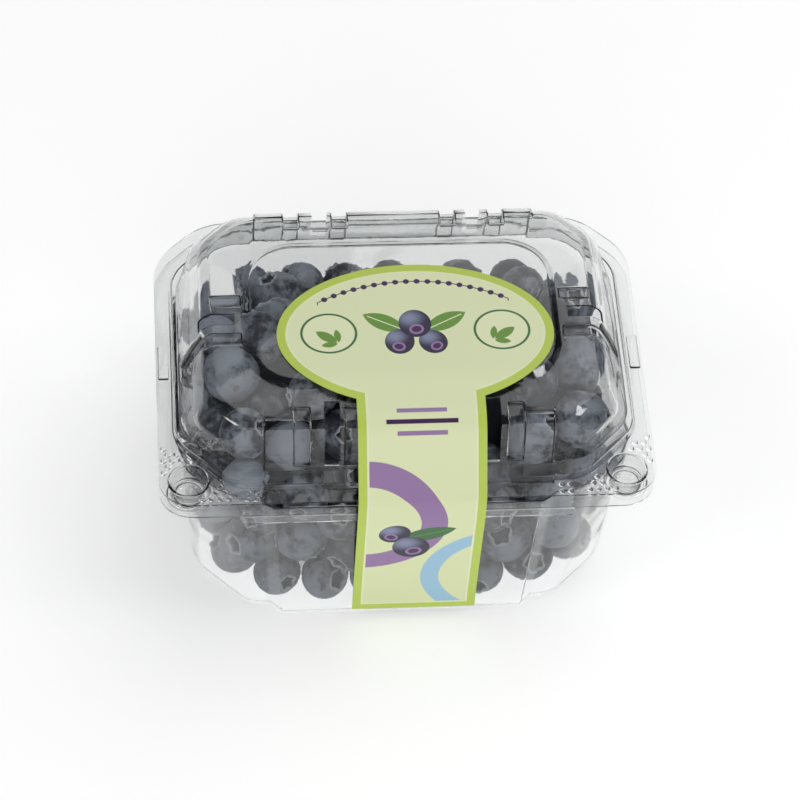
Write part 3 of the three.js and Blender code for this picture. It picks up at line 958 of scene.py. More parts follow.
@dataclass
class Lid:
    """The clear lid: a flange, a ledge, a bevelled wall with vents, and a raised top."""

    flange_z: float = 52.7
    ledge_z: float = 54.3
    ledge_depth: float = 40.4
    wall_depth: float = 35.6
    crown_z: float = 68.4
    panel_half: float = 34.8
    panel_rise: float = 1.0
    ledge_rise: float = 0.9
    channel_low: float = 55.6
    channel_inner: float = 28.6
    channel_centres: Pair = (13.5, 25.6)
    channel_width: float = 3.6
    channel_depth: float = 1.05
    slot_centres: Pair = (-18.4, 20.0)
    slot_width: float = 3.8
    slot_inner: float = 27.0
    band_y: float = -0.7
    band_channel_at: float = 6.0
    band_channel_width: float = 3.0
    band_channel_depth: float = 1.2
    band_channel_inner: float = 39.2
    band_slot_width: float = 3.5
    band_slot_inner: float = 40.6
    band_slot_low: float = 65.3
    lug: Pair = (58.15, -1.4)
    lug_size: Triple = (2.6, 10.4, 1.0)
    lug_lift: float = 0.2
    lug_fold: float = 0.42
    smooth_below: float = 38.0
    # Limits of the tests that pick the faces to cut and push.
    wall_from: float = 54.32
    wall_steep: float = 0.5
    band_steep: float = 0.3
    crown_from: float = 20.0
    slope_z: float = 60.0
    slope_from: float = 32.0
    panel_room: float = 36.0
    vents_room: float = 28.0
    ledge_from: float = 35.0
    step_from: float = 38.0
    band_from: float = 38.3
    band_room: float = 12.0
    stud: PressStud = field(default_factory=PressStud)
    dimples: Dimples = field(default_factory=Dimples)

    def sections(self) -> list[Section]:
        """Gives the rings from the flange's edge to the top panel.

        Returns:
            The rings, outermost first.
        """
        return [
            Section(self.flange_z, 60, 45, **FLANGE_CORNERS),
            Section(self.flange_z, 56.3, self.ledge_depth, 13.8, 4),
            Section(self.ledge_z, 55.7, 39.9, 13.6, 4),
            Section(self.ledge_z, 54.4, self.wall_depth, 11.5, 4),
            Section(62.5, 51, 34.6, 6.5, 2.2),
            Section(66.8, 48.8, 33.8, 8.6, 3),
            Section(self.crown_z, 46.4, 31, 7.6, 3),
            Section(self.crown_z, 38.2, 23.2, 7.3, 4.8),
            Section(69.9, 36.6, 20.8, 6.4, 4.1),
        ]

    def build(self) -> bpy.types.Object:
        """Builds the lid's mesh.

        Returns:
            The lid, in millimetres.
        """
        sheet = FormedSheet("lid_clear")
        for section in self.sections():
            sheet.ring(section)
        sheet.cap()
        sheet.face(upwards=True)
        sheet.round_rings(
            {8: Fold.CREASE, 6: Fold.CREASE, 5: Fold.SOFT, 4: Fold.SOFT, 2: Fold.CRISP}
        )
        self._cut_panels(sheet.bench)
        self._cut_bands(sheet.bench)
        obj = sheet.thicken(SHEET)
        self.stud.add_to(obj, self.flange_z, DRAWN, 0.0)
        self.dimples.add_to(obj, self.flange_z, self.stud)
        self._add_lugs(obj)
        smooth(obj, self.smooth_below)
        return obj

    def _in_panel(self, side: int) -> Test:
        """Gives a test for the faces of the front or back wall and crown.

        Args:
            side: -1 for the front, 1 for the back.

        Returns:
            The test of a face's centre and normal.
        """

        def test(centre: Vector, normal: Vector) -> bool:
            """Tells whether a face is of the panel."""
            return (
                side * centre.y > self.crown_from
                and abs(centre.x) < self.panel_half
                and abs(normal.x) < ACROSS
                and self.wall_from < centre.z < self.crown_z + NEAR
                and (centre.z > self.slope_z or side * centre.y > self.slope_from)
            )

        return test

    def _cut_panels(self, bench: Bench) -> None:
        """Raises the front and back panels and forms their channels and slots.

        Args:
            bench: The sheet's bench.
        """
        across = Vector((1, 0, 0))
        channel_half, slot_half = self.channel_width / 2, self.slot_width / 2
        centres = [hand * x for hand in SIDES for x in self.channel_centres]
        for side in SIDES:
            wall = self._in_panel(side)

            def whole(centre: Vector, normal: Vector) -> bool:
                """Tells whether a face is of this side of the lid."""
                return (
                    side * centre.y > self.crown_from
                    and abs(normal.x) < ACROSS
                    and abs(centre.x) < self.panel_room
                    and centre.z < self.crown_z + NEAR
                )

            def wall_or_ledge(centre: Vector, normal: Vector) -> bool:
                """Tells whether a face is of the panel or the ledge."""
                return wall(centre, normal) or (
                    abs(centre.z - self.ledge_z) < NEAR
                    and side * centre.y > self.ledge_from
                    and abs(centre.x) < self.panel_half
                )

            for hand in SIDES:
                bench.slice(whole, Vector((hand * self.panel_half, 0, 0)), across)
            cuts = [c + e * channel_half for c in centres for e in SIDES]
            cuts += [c + e * slot_half for c in self.slot_centres for e in SIDES]
            for x in cuts:
                bench.slice(wall_or_ledge, Vector((x, 0, 0)), across)
            bench.slice(
                lambda c, n: wall(c, n) and side * n.y > self.wall_steep,
                Vector((0, 0, self.channel_low)),
                Vector((0, 0, 1)),
            )
            for inner in (self.channel_inner, self.slot_inner):
                bench.slice(
                    lambda c, n: wall(c, n) and n.z > ALONG and abs(c.x) < self.vents_room,
                    Vector((0, side * inner, 0)),
                    Vector((0, 1, 0)),
                )
            bench.pick_faces(lambda c, n: wall(c, n) and side * n.y > ACROSS)
            bench.push((0, side * self.panel_rise, 0))
            foot = self.wall_depth
            bench.seat(side, self.ledge_z, foot, foot + self.panel_rise, self.panel_half)
            bench.pick_faces(
                lambda c, n: abs(c.x) < self.panel_half
                and side * c.y > self.step_from
                and side * n.y > ACROSS
                and self.flange_z < c.z < self.ledge_z + 0.1
            )
            bench.push((0, side * self.ledge_rise, 0))
            foot = self.ledge_depth
            bench.seat(side, self.flange_z, foot, foot + self.ledge_rise, self.panel_half)

            def in_channel(c: Vector, n: Vector) -> bool:
                """Tells whether a face is of a channel."""
                return (
                    abs(n.x) < ACROSS
                    and c.z > self.channel_low
                    and side * c.y > self.channel_inner
                    and any(abs(c.x - x) < channel_half for x in centres)
                )

            def in_slot(c: Vector, n: Vector) -> bool:
                """Tells whether a face is of a vent slot."""
                return (
                    c.z > self.channel_low
                    and side * c.y > self.slot_inner
                    and any(abs(c.x - x) < slot_half for x in self.slot_centres)
                )

            bench.pick_faces(in_slot)
            bpy.ops.mesh.delete(type="FACE")
            bench.pick_faces(in_channel)
            bench.sink(self.channel_depth)

    def _cut_bands(self, bench: Bench) -> None:
        """Forms the channels and the slot of each side band.

        Args:
            bench: The sheet's bench.
        """
        along = Vector((0, 1, 0))
        half, slot_half = self.band_channel_width / 2, self.band_slot_width / 2
        centres = [self.band_y + e * self.band_channel_at for e in SIDES]
        cuts = [c + e * half for c in centres for e in SIDES]
        cuts += [self.band_y + e * slot_half for e in SIDES]
        for side in SIDES:

            def wall(c: Vector, n: Vector) -> bool:
                """Tells whether a face is of the side band."""
                return (
                    side * c.x > self.band_from
                    and abs(n.y) < ACROSS
                    and abs(c.y) < self.band_room
                    and self.wall_from < c.z < self.crown_z + NEAR
                )

            for y in cuts:
                bench.slice(wall, Vector((0, y, 0)), along)
            for low in (self.channel_low, self.band_slot_low):
                bench.slice(
                    lambda c, n: wall(c, n) and side * n.x > self.band_steep,
                    Vector((0, 0, low)),
                    Vector((0, 0, 1)),
                )
            for inner in (self.band_channel_inner, self.band_slot_inner):
                bench.slice(
                    lambda c, n: wall(c, n) and n.z > ALONG,
                    Vector((side * inner, 0, 0)),
                    Vector((1, 0, 0)),
                )
            bench.pick_faces(
                lambda c, n: wall(c, n)
                and c.z > self.band_slot_low
                and side * c.x > self.band_slot_inner
                and abs(c.y - self.band_y) < slot_half
            )
            bpy.ops.mesh.delete(type="FACE")
            bench.pick_faces(
                lambda c, n: wall(c, n)
                and c.z > self.channel_low
                and side * c.x > self.band_channel_inner
                and any(abs(c.y - y) < half for y in centres)
            )
            bench.sink(self.band_channel_depth)

    def _add_lugs(self, obj: bpy.types.Object) -> None:
        """Adds the stacking lug of each side of the flange.

        Args:
            obj: The lid.
        """
        for hand in SIDES:
            bench = Bench("lug")
            middle = (hand * self.lug[0], self.lug[1], self.flange_z + self.lug_lift)
            bpy.ops.mesh.primitive_cube_add(size=1, location=middle)
            bpy.ops.transform.resize(value=self.lug_size, center_override=middle)
            bench.pick_edges(lambda a, b: max(a.z, b.z) > middle[2])
            bench.round_edges(self.lug_fold)
            combine(obj, bench.leave(), "UNION")


@dataclass
class Tray:
    """The clear tray: a kicked-up base, a drafted wall with proud panels, and a flange."""

    flange_z: float = 47.8
    flange_depth: float = 44.8
    wall_depth: float = 40.2
    panel_low: float = 32.9
    panel_high: float = 35.6
    panel_proud: float = 3.1
    panel_proud_top: float = 2.2
    panel_taper: float = 0.91
    lip_half: float = 40.0
    lip_depth: float = 2.4
    hinge_half: float = 41.0
    hinge_top: float = 52.5
    hinge_bulge: float = 1.45
    hinge_steps: int = 10
    stud_fit: float = 0.35
    smooth_below: float = 38.0
    # Limits of the tests that pick the faces to cut, push and fold.
    wall_from: float = 30.0
    wall_steep: float = 0.2
    panel_middle: float = 10.0
    flange_from: float = 40.0
    lip_from: float = 42.0
    flange_over: float = 47.0
    stud: PressStud = field(default_factory=PressStud)

    def sections(self) -> list[Section]:
        """Gives the rings from the flange's edge down to the kick's cap.

        Returns:
            The rings, outermost first.
        """
        under = self.flange_z - SHEET
        return [
            Section(under, 60, self.flange_depth, **FLANGE_CORNERS),
            Section(under, 55, self.wall_depth, 12.6, 5),
            Section(2.6, 51.9, 38, 13.4, 4),
            Section(0, 50.8, 37, 12.8, 3),
            Section(0, 41, 28, 9, 3),
            Section(1.4, 39.6, 26.6, 8.6, 3),
        ]

    def build(self) -> bpy.types.Object:
        """Builds the tray's mesh.

        Returns:
            The tray, in millimetres.
        """
        sheet = FormedSheet("tray_clear")
        for section in self.sections():
            sheet.ring(section)
        sheet.cap()
        sheet.face(upwards=False)
        self._push_panels(sheet.bench)
        sheet.round_rings({5: Fold.SOFT, 4: Fold.CRISP, 2: Fold.SOFT, 1: Fold.SOFT})
        self._fold_lip(sheet.bench)
        self._fold_hinge(sheet.bench)
        obj = sheet.thicken(SHEET)
        self.stud.add_to(obj, self.flange_z, DRAWN, self.stud_fit)
        smooth(obj, self.smooth_below)
        return obj

    def _push_panels(self, bench: Bench) -> None:
        """Pushes the front and back panels out, with tapered sides.

        Args:
            bench: The sheet's bench.
        """
        under = self.flange_z - SHEET
        lean = Vector((self.flange_z, 0, self.panel_low - self.panel_high))
        half = self.panel_low + (self.panel_high - self.panel_low) * under / self.flange_z
        pushed = self.wall_depth + self.panel_proud
        for side in SIDES:

            def front(c: Vector, n: Vector) -> bool:
                """Tells whether a face is of this wall's middle."""
                steep = side * n.y > self.wall_steep and abs(n.x) < ACROSS
                return steep and side * c.y > self.wall_from

            def front_or_flange(c: Vector, n: Vector) -> bool:
                """Tells whether a face is of this wall or its flange."""
                return front(c, n) or (
                    abs(c.z - under) < NEAR and side * c.y > self.wall_depth and abs(n.x) < ACROSS
                )

            for hand in SIDES:
                normal = Vector((hand * lean.x, 0, lean.z)).normalized()
                bench.slice(front_or_flange, Vector((hand * self.panel_low, 0, 0)), normal)
            bench.pick_faces(lambda c, n: front(c, n) and abs(c.x) < self.panel_middle)
            bench.push((0, side * self.panel_proud, 0))
            bpy.ops.transform.resize(value=(self.panel_taper, 1, 1), center_override=(0, 0, 0))
            bench.pick_points(
                lambda co: abs(side * co.y - pushed) < NEAR and abs(co.z - under) < NEAR
            )
            back = self.panel_proud_top - self.panel_proud
            bpy.ops.transform.translate(value=(0, side * back, 0))
            foot = self.wall_depth
            bench.seat(side, under, foot, foot + self.panel_proud_top, half, self.panel_taper)
            bench.merge_level(side, under, foot, half)

    def _fold_lip(self, bench: Bench) -> None:
        """Folds the front edge of the flange down into a lip.

        Args:
            bench: The sheet's bench.
        """
        for hand in SIDES:
            bench.slice(
                lambda c, n: -c.y > self.lip_from and c.z > self.flange_over and abs(n.z) > ALONG,
                Vector((hand * self.lip_half, 0, 0)),
                Vector((1, 0, 0)),
            )
        bench.pick_edges(
            lambda a, b: max(a.y, b.y) < NEAR - self.flange_depth
            and max(abs(a.x), abs(b.x)) < self.lip_half + NEAR
        )
        bench.push((0, 0, -self.lip_depth))

    def _fold_hinge(self, bench: Bench) -> None:
        """Folds the back edge of the flange up to the lid's level.

        Args:
            bench: The sheet's bench.
        """
        edge = FLANGE_CORNERS["back_depth"]
        for hand in SIDES:
            bench.slice(
                lambda c, n: c.y > self.flange_from and c.z > self.flange_over and abs(n.z) > ALONG,
                Vector((hand * self.hinge_half, 0, 0)),
                Vector((1, 0, 0)),
            )
        bench.pick_edges(
            lambda a, b: min(a.y, b.y) > edge - NEAR
            and max(abs(a.x), abs(b.x)) < self.hinge_half + NEAR
        )
        rise = self.hinge_top - self.flange_z + SHEET
        before = Vector((0.0, 0.0))
        for step in range(1, self.hinge_steps + 1):
            turn = math.pi * step / self.hinge_steps
            now = Vector((self.hinge_bulge * math.sin(turn), rise * (1 - math.cos(turn)) / 2))
            move = now - before
            bench.push((0, move.x, move.y))
            before = now


@dataclass
class Berry:
    """One berry of the heap: its place, radius and the way its crown faces."""

    radius: float
    x: float
    y: float
    z: float
    crown: Vector
    tone: float = 0.0


class Draws:
    """Seeded draws between 0 and 1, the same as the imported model's."""

    multiplier = 1664525
    increment = 1013904223
    modulus = 2**32

    def __init__(self, seed: int) -> None:
        """Sets the seed."""
        self.state = seed

    def next(self) -> float:
        """Gives the next draw."""
        self.state = (self.state * self.multiplier + self.increment) % self.modulus
        return self.state / self.modulus


def clamped(share: float) -> float:
    """Gives a share, held between 0 and 1."""
    return min(max(share, 0.0), 1.0)


@dataclass(frozen=True)
class Room:
    """The space inside the pack at one height."""

    z: float
    half_width: float
    half_depth: float
    cut: float

    @property
    def diagonal(self) -> float:
        """Reach of |x| + |y| at the bevelled corners."""
        return self.half_width + self.half_depth - self.cut

    def towards(self, other: "Room", share: float) -> "Room":
        """Gives the space a share of the way to another.

        Args:
            other: The space to go towards.
            share: The share of the way.

        Returns:
            The space there.
        """
        return Room(
            self.z,
            self.half_width + (other.half_width - self.half_width) * share,
            self.half_depth + (other.half_depth - self.half_depth) * share,
            self.cut + (other.cut - self.cut) * share,
        )


@dataclass
class Heap:
    """The loose berries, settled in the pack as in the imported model."""

    count: int = 214
    smallest: float = 5.6
    largest: float = 7.5
    seed: int = 7
    steps: int = 300
    settle_steps: int = 180
    fall: float = 0.32
    push: float = 0.5
    front_top: float = 66.2
    under_lid: float = 1.5
    wall_gap: float = 0.525
    sheet: float = 0.5
    fit: float = 0.35
    kick: float = 1.4
    slope: float = 0.8
    slope_from: float = 8.0
    shown: float = 17.0
    low_reach: float = 0.15
    high_reach: float = 0.45
    flange_top: float = 47.8
    in_panel: float = 2.7
    in_panel_top: float = 1.8
    panel_end: float = 33.0
    panel_fade: float = 5.0
    kick_room: Pair = (46.0, 33.0)
    kick_fade: float = 5.0
    raised: float = 0.3

    def __post_init__(self) -> None:
        """Sets the rooms of tray and lid."""
        self.rooms = [Room(2.6, 51.9, 38, 13.4), Room(47.8, 55, 40.2, 12.6)]
        for z, width, depth, cut in (
            (54.2, 54.4, 35.6, 11.5),
            (62.5, 51, 34.6, 6.5),
            (66.8, 48.8, 33.8, 8.6),
            (68.4, 46.4, 31, 7.6),
        ):
            self.rooms.append(Room(z, width - self.under_lid, depth - self.under_lid, cut))

    def room_at(self, z: float) -> Room:
        """Gives the room at a height.

        Args:
            z: The height.

        Returns:
            The room.
        """
        i = 0
        while i + 2 < len(self.rooms) and z > self.rooms[i + 1].z:
            i += 1
        low, high = self.rooms[i], self.rooms[i + 1]
        return low.towards(high, clamped((z - low.z) / (high.z - low.z)))

    def top_at(self, y: float) -> float:
        """Gives the height of the heap's top."""
        return self.front_top - self.slope * max(0, y - self.slope_from)

    def panel_room(self, x: float, z: float) -> float:
        """Gives the depth that the tray's proud panels add to the room at a place.

        Args:
            x: The place across.
            z: The height.

        Returns:
            The added depth.
        """
        if z > self.flange_top:
            return 0.0
        depth = self.in_panel + (self.in_panel_top - self.in_panel) * z / self.flange_top
        return depth * clamped((self.panel_end - abs(x)) / self.panel_fade)

    def floor_at(self, x: float, y: float) -> float:
        """Gives the height of the tray's floor: on the kick, or in the groove round it.

        Args:
            x: The place across.
            y: The place in depth.

        Returns:
            The height.
        """
        across = clamped((self.kick_room[0] - abs(x)) / self.kick_fade)
        along = clamped((self.kick_room[1] - abs(y)) / self.kick_fade)
        return self.kick * min(across, along) + self.sheet + self.fit

    def keep_inside(self, berry: Berry) -> None:
        """Keeps a berry off the walls, the floor and the heap's top.

        Args:
            berry: The berry, which is moved.
        """
        off = berry.radius + self.sheet + self.wall_gap
        below = self.room_at(berry.z - berry.radius * self.low_reach)
        above = self.room_at(berry.z + berry.radius * self.high_reach)
        width = min(below.half_width, above.half_width) - off
        extra = self.panel_room(berry.x, berry.z + berry.radius * self.high_reach)
        depth = min(below.half_depth, above.half_depth) - off + extra
        berry.x = min(max(berry.x, -width), width)
        berry.y = min(max(berry.y, -depth), depth)
        reach = min(below.diagonal, above.diagonal) - off * math.sqrt(2)
        over = abs(berry.x) + abs(berry.y) - reach
        if over > 0:
            berry.x -= math.copysign(over / 2, berry.x)
            berry.y -= math.copysign(over / 2, berry.y)
        floor = self.floor_at(berry.x, berry.y) + berry.radius
        berry.z = max(min(berry.z, self.top_at(berry.y) - berry.radius), floor)

    def push_apart(self, berries: list[Berry]) -> None:
        """Moves berries that overlap away from each other.

        Args:
            berries: All the berries.
        """
        for i, a in enumerate(berries):
            for b in berries[i + 1 :]:
                dz = b.z - a.z
                reach = a.radius + b.radius
                if dz > reach or dz < -reach:
                    continue
                dx, dy = b.x - a.x, b.y - a.y
                gap = dx * dx + dy * dy + dz * dz
                if 0 < gap < reach * reach:
                    distance = math.sqrt(gap)
                    move = (reach - distance) * self.push / distance
                    a.x -= dx * move
                    a.y -= dy * move
                    a.z -= dz * move
                    b.x += dx * move
                    b.y += dy * move
                    b.z += dz * move

    def settle(self) -> list[Berry]:
        """Drops the berries into the pack.

        Returns:
            Every berry at rest.
        """
        draws = Draws(self.seed)
        low = self.rooms[0]
        berries = []
        for _ in range(self.count):
            spread = (draws.next() + draws.next()) / 2
            radius = self.smallest + (self.largest - self.smallest) * spread
            x = (draws.next() * 2 - 1) * low.half_width
            y = (draws.next() * 2 - 1) * low.half_depth
            z = draws.next() * self.front_top
            crown = Vector([draws.next() * 2 - 1 for _ in range(3)])
            berries.append(Berry(radius, x, y, z, crown))
        for step in range(self.steps):
            for berry in berries:
                berry.z -= self.fall if step < self.settle_steps else 0
            self.push_apart(berries)
            for berry in berries:
                self.keep_inside(berry)
        for berry in berries:
            berry.tone = draws.next()
        return berries

    def outward(self, berry: Berry) -> Vector:
        """Gives the way from the heap's upright axis to a berry, a little raised.

        Args:
            berry: The berry.

        Returns:
            The way, of length 1.
        """
        room = self.rooms[1]
        away = Vector((berry.x / room.half_width, berry.y / room.half_depth, 0))
        return (away + Vector((0, 0, self.raised))).normalized()

    def depth(self, berry: Berry) -> float:
        """Gives how deep in the heap a berry lies.

        Args:
            berry: The berry.

        Returns:
            How far the nearest wall or the top is.
        """
        room = self.room_at(berry.z)
        reach = abs(berry.x) + abs(berry.y)
        return min(
            room.half_width - abs(berry.x),
            room.half_depth + self.panel_room(berry.x, berry.z) - abs(berry.y),
            (room.diagonal - reach) / math.sqrt(2),
            self.top_at(berry.y) - berry.z,
        )


@dataclass(frozen=True)
class BerryKind:
    """Shape of a kind of berry, on a radius of one."""

    flatness: float
    crown: float
    crater: float
    lobe: float
    bulge: float


@dataclass
class Blueberries:
    """All berries that show, as one piece, over a dark core."""

    heap: Heap = field(default_factory=Heap)
    sides: int = 25
    body_rings: int = 9
    kinds: tuple[BerryKind, ...] = (
        BerryKind(0.90, 0.40, 0.17, 0.17, 0.03),
        BerryKind(0.93, 0.34, 0.13, 0.20, 0.04),
        BerryKind(0.88, 0.46, 0.20, 0.13, 0.02),
        BerryKind(0.95, 0.30, 0.10, 0.22, 0.05),
    )
    smooth_below: float = 55.0
    lobes: int = 5
    lobes_from: float = 0.4
    lobe_lift: float = 0.03
    rim_from: float = 0.8
    scar_reach: float = 0.15
    scar_heart: float = 0.09
    scar_edge: float = 0.7
    crown_outward: float = 0.9
    crown_share: float = 0.8
    scar_outward: float = 0.6
    core_levels: tuple[Triple, ...] = ((46, 55, 40.2), (30, 53.6, 39), (12, 52.6, 38.4))
    core_inset: float = 12.0
    core_cut: float = 9.0
    core_soft: float = 4.0
    core_smooth_below: float = 50.0

    def _template(self, kind: BerryKind, number: int) -> bpy.types.Object:
        """Models one berry of a kind, crown up, on a radius of one.

        Args:
            kind: The berry's shape.
            number: Its number, for its name.

        Returns:
            The berry.
        """
        flat, rim = kind.flatness, kind.crown
        profile = [(0.05, -flat + 0.07), (0.11, -flat + 0.02), (0.17, -flat + 0.012)]
        last = math.pi - math.asin(rim * 1.12)
        first = math.asin(0.26)
        for ring in range(self.body_rings + 1):
            angle = first + (last - first) * ring / self.body_rings
            profile.append((math.sin(angle), -math.cos(angle) * flat))
        top = profile[-1][1]
        profile += [
            (rim, top + kind.bulge + 0.02),
            (rim * 0.86, top + kind.bulge),
            (rim * 0.76, top - kind.crater * 0.7),
            (rim * 0.45, top - kind.crater),
            (rim * 0.12, top - kind.crater * 0.8),
        ]
        obj = turned(f"berry_{number}", (0, 0), profile, self.sides)
        self._shape_crown(obj, kind)
        return obj

    def _shape_crown(self, obj: bpy.types.Object, kind: BerryKind) -> None:
        """Gives the crown its lobes, and marks crown, pit and scar for the finish.

        Args:
            obj: The berry.
            kind: Its shape.
        """
        mesh = obj.data
        marks = {
            name: mesh.attributes.new(name, "FLOAT", "POINT") for name in ("crown", "pit", "scar")
        }
        for vert in mesh.vertices:
            reach = math.hypot(vert.co.x, vert.co.y)
            if vert.co.z > 0 and reach < kind.crown * 1.05:
                wave = math.cos(self.lobes * math.atan2(vert.co.y, vert.co.x))
                edge = reach / kind.crown
                on_rim = edge > self.rim_from
                if edge > self.lobes_from:
                    vert.co.x *= 1 + kind.lobe * wave
                    vert.co.y *= 1 + kind.lobe * wave
                    vert.co.z += self.lobe_lift * wave * on_rim
                marks["crown"].data[vert.index].value = float(on_rim)
                marks["pit"].data[vert.index].value = float(edge < self.rim_from)
            elif vert.co.z < 0 and reach < self.scar_reach:
                heart = reach < self.scar_heart
                marks["scar"].data[vert.index].value = 1.0 if heart else self.scar_edge
        mesh.update()

    def _place(self, template: bpy.types.Object, berry: Berry) -> bpy.types.Object:
        """Copies a template to a berry's place.

        Args:
            template: The kind of berry.
            berry: The berry.

        Returns:
            The copy, its place in its mesh.
        """
        obj = bpy.data.objects.new("berry", template.data.copy())
        bpy.context.scene.collection.objects.link(obj)
        lean = self.crown_outward if berry.tone < self.crown_share else -self.scar_outward
        facing = berry.crown.normalized() + self.heap.outward(berry) * lean
        turn = Vector((0, 0, 1)).rotation_difference(facing)
        spin = Matrix.Rotation(berry.tone * math.tau, 4, "Z")
        place = Matrix.Translation((berry.x, berry.y, berry.z))
        size = Matrix.Scale(berry.radius, 4)
        obj.data.transform(place @ turn.to_matrix().to_4x4() @ spin @ size)
        tone = obj.data.attributes.new("tone", "FLOAT", "POINT")
        tone.data.foreach_set("value", [berry.tone] * len(obj.data.vertices))
        return obj

    def build(self) -> bpy.types.Object:
        """Builds the berries that show.

        Returns:
            The berries, in millimetres.
        """
        templates = [self._template(kind, i) for i, kind in enumerate(self.kinds)]
        berries = [b for b in self.heap.settle() if self.heap.depth(b) < self.heap.shown]
        placed = []
        for number, berry in enumerate(berries):
            placed.append(self._place(templates[number % len(templates)], berry))
        for template in templates:
            bpy.data.objects.remove(template)
        obj = join(placed)
        obj.name = "berries"
        obj.data.name = "berries"
        smooth(obj, self.smooth_below)
        LOG.info("%d berries shown of %d", len(berries), self.heap.count)
        return obj

    def build_core(self) -> bpy.types.Object:
        """Builds the dark core, painted shade that shows only between berries.

        Returns:
            The core, in millimetres.
        """
        sheet = FormedSheet("heap_core")
        inset = self.core_inset
        for z, width, depth in self.core_levels:
            section = Section(z, width - inset, depth - inset, self.core_cut, self.core_soft)
            sheet.ring(section)
        sheet.cap()
        sheet.pick_rings(0)
        bpy.ops.mesh.edge_face_add()
        bpy.ops.mesh.select_all(action="SELECT")
        bpy.ops.mesh.normals_make_consistent(inside=False)
        sheet.round_rings({0: Fold.ROUND})
        obj = sheet.bench.leave()
        obj.vertex_groups.clear()
        smooth(obj, self.core_smooth_below)
        return obj


@dataclass(frozen=True)
class LabelPath:
    """The label's line over the pack, in the plane of Y and Z, with soft bends."""

    corners: tuple[Pair, ...] = (
        (13.8, 70.06),
        (-20.9, 70.06),
        (-32.35, 68.62),
        (-35.4, 66.75),
        (-45.55, 53.0),
        (-45.55, 44.85),
        (-41.72, 10.6),
        (-41.5, 2.95),
    )
    bend: float = 1.6
    bend_steps: int = 5

    def points(self) -> list[Vector]:
        """Gives the line's points.

        Returns:
            The points, from the label's back end.
        """
        corners = [Vector(c) for c in self.corners]
        found = [corners[0]]
        for i in range(1, len(corners) - 1):
            enter = corners[i] + (corners[i - 1] - corners[i]).normalized() * self.bend
            leave = corners[i] + (corners[i + 1] - corners[i]).normalized() * self.bend
            for step in range(self.bend_steps + 1):
                t = step / self.bend_steps
                found.append(enter * (1 - t) ** 2 + corners[i] * 2 * t * (1 - t) + leave * t**2)
        return [*found, corners[-1]]

    def length(self) -> float:
        """Gives the line's length."""
        points = self.points()
        return sum((b - a).length for a, b in zip(points, points[1:]))

    def at(self, s: float) -> Vector:
        """Gives the point at a length along the line.

        Args:
            s: The length along the line.

        Returns:
            The point.
        """
        points = self.points()
        for a, b in zip(points, points[1:]):
            step = (b - a).length
            if s <= step:
                return a.lerp(b, s / step)
            s -= step
        return points[-1]


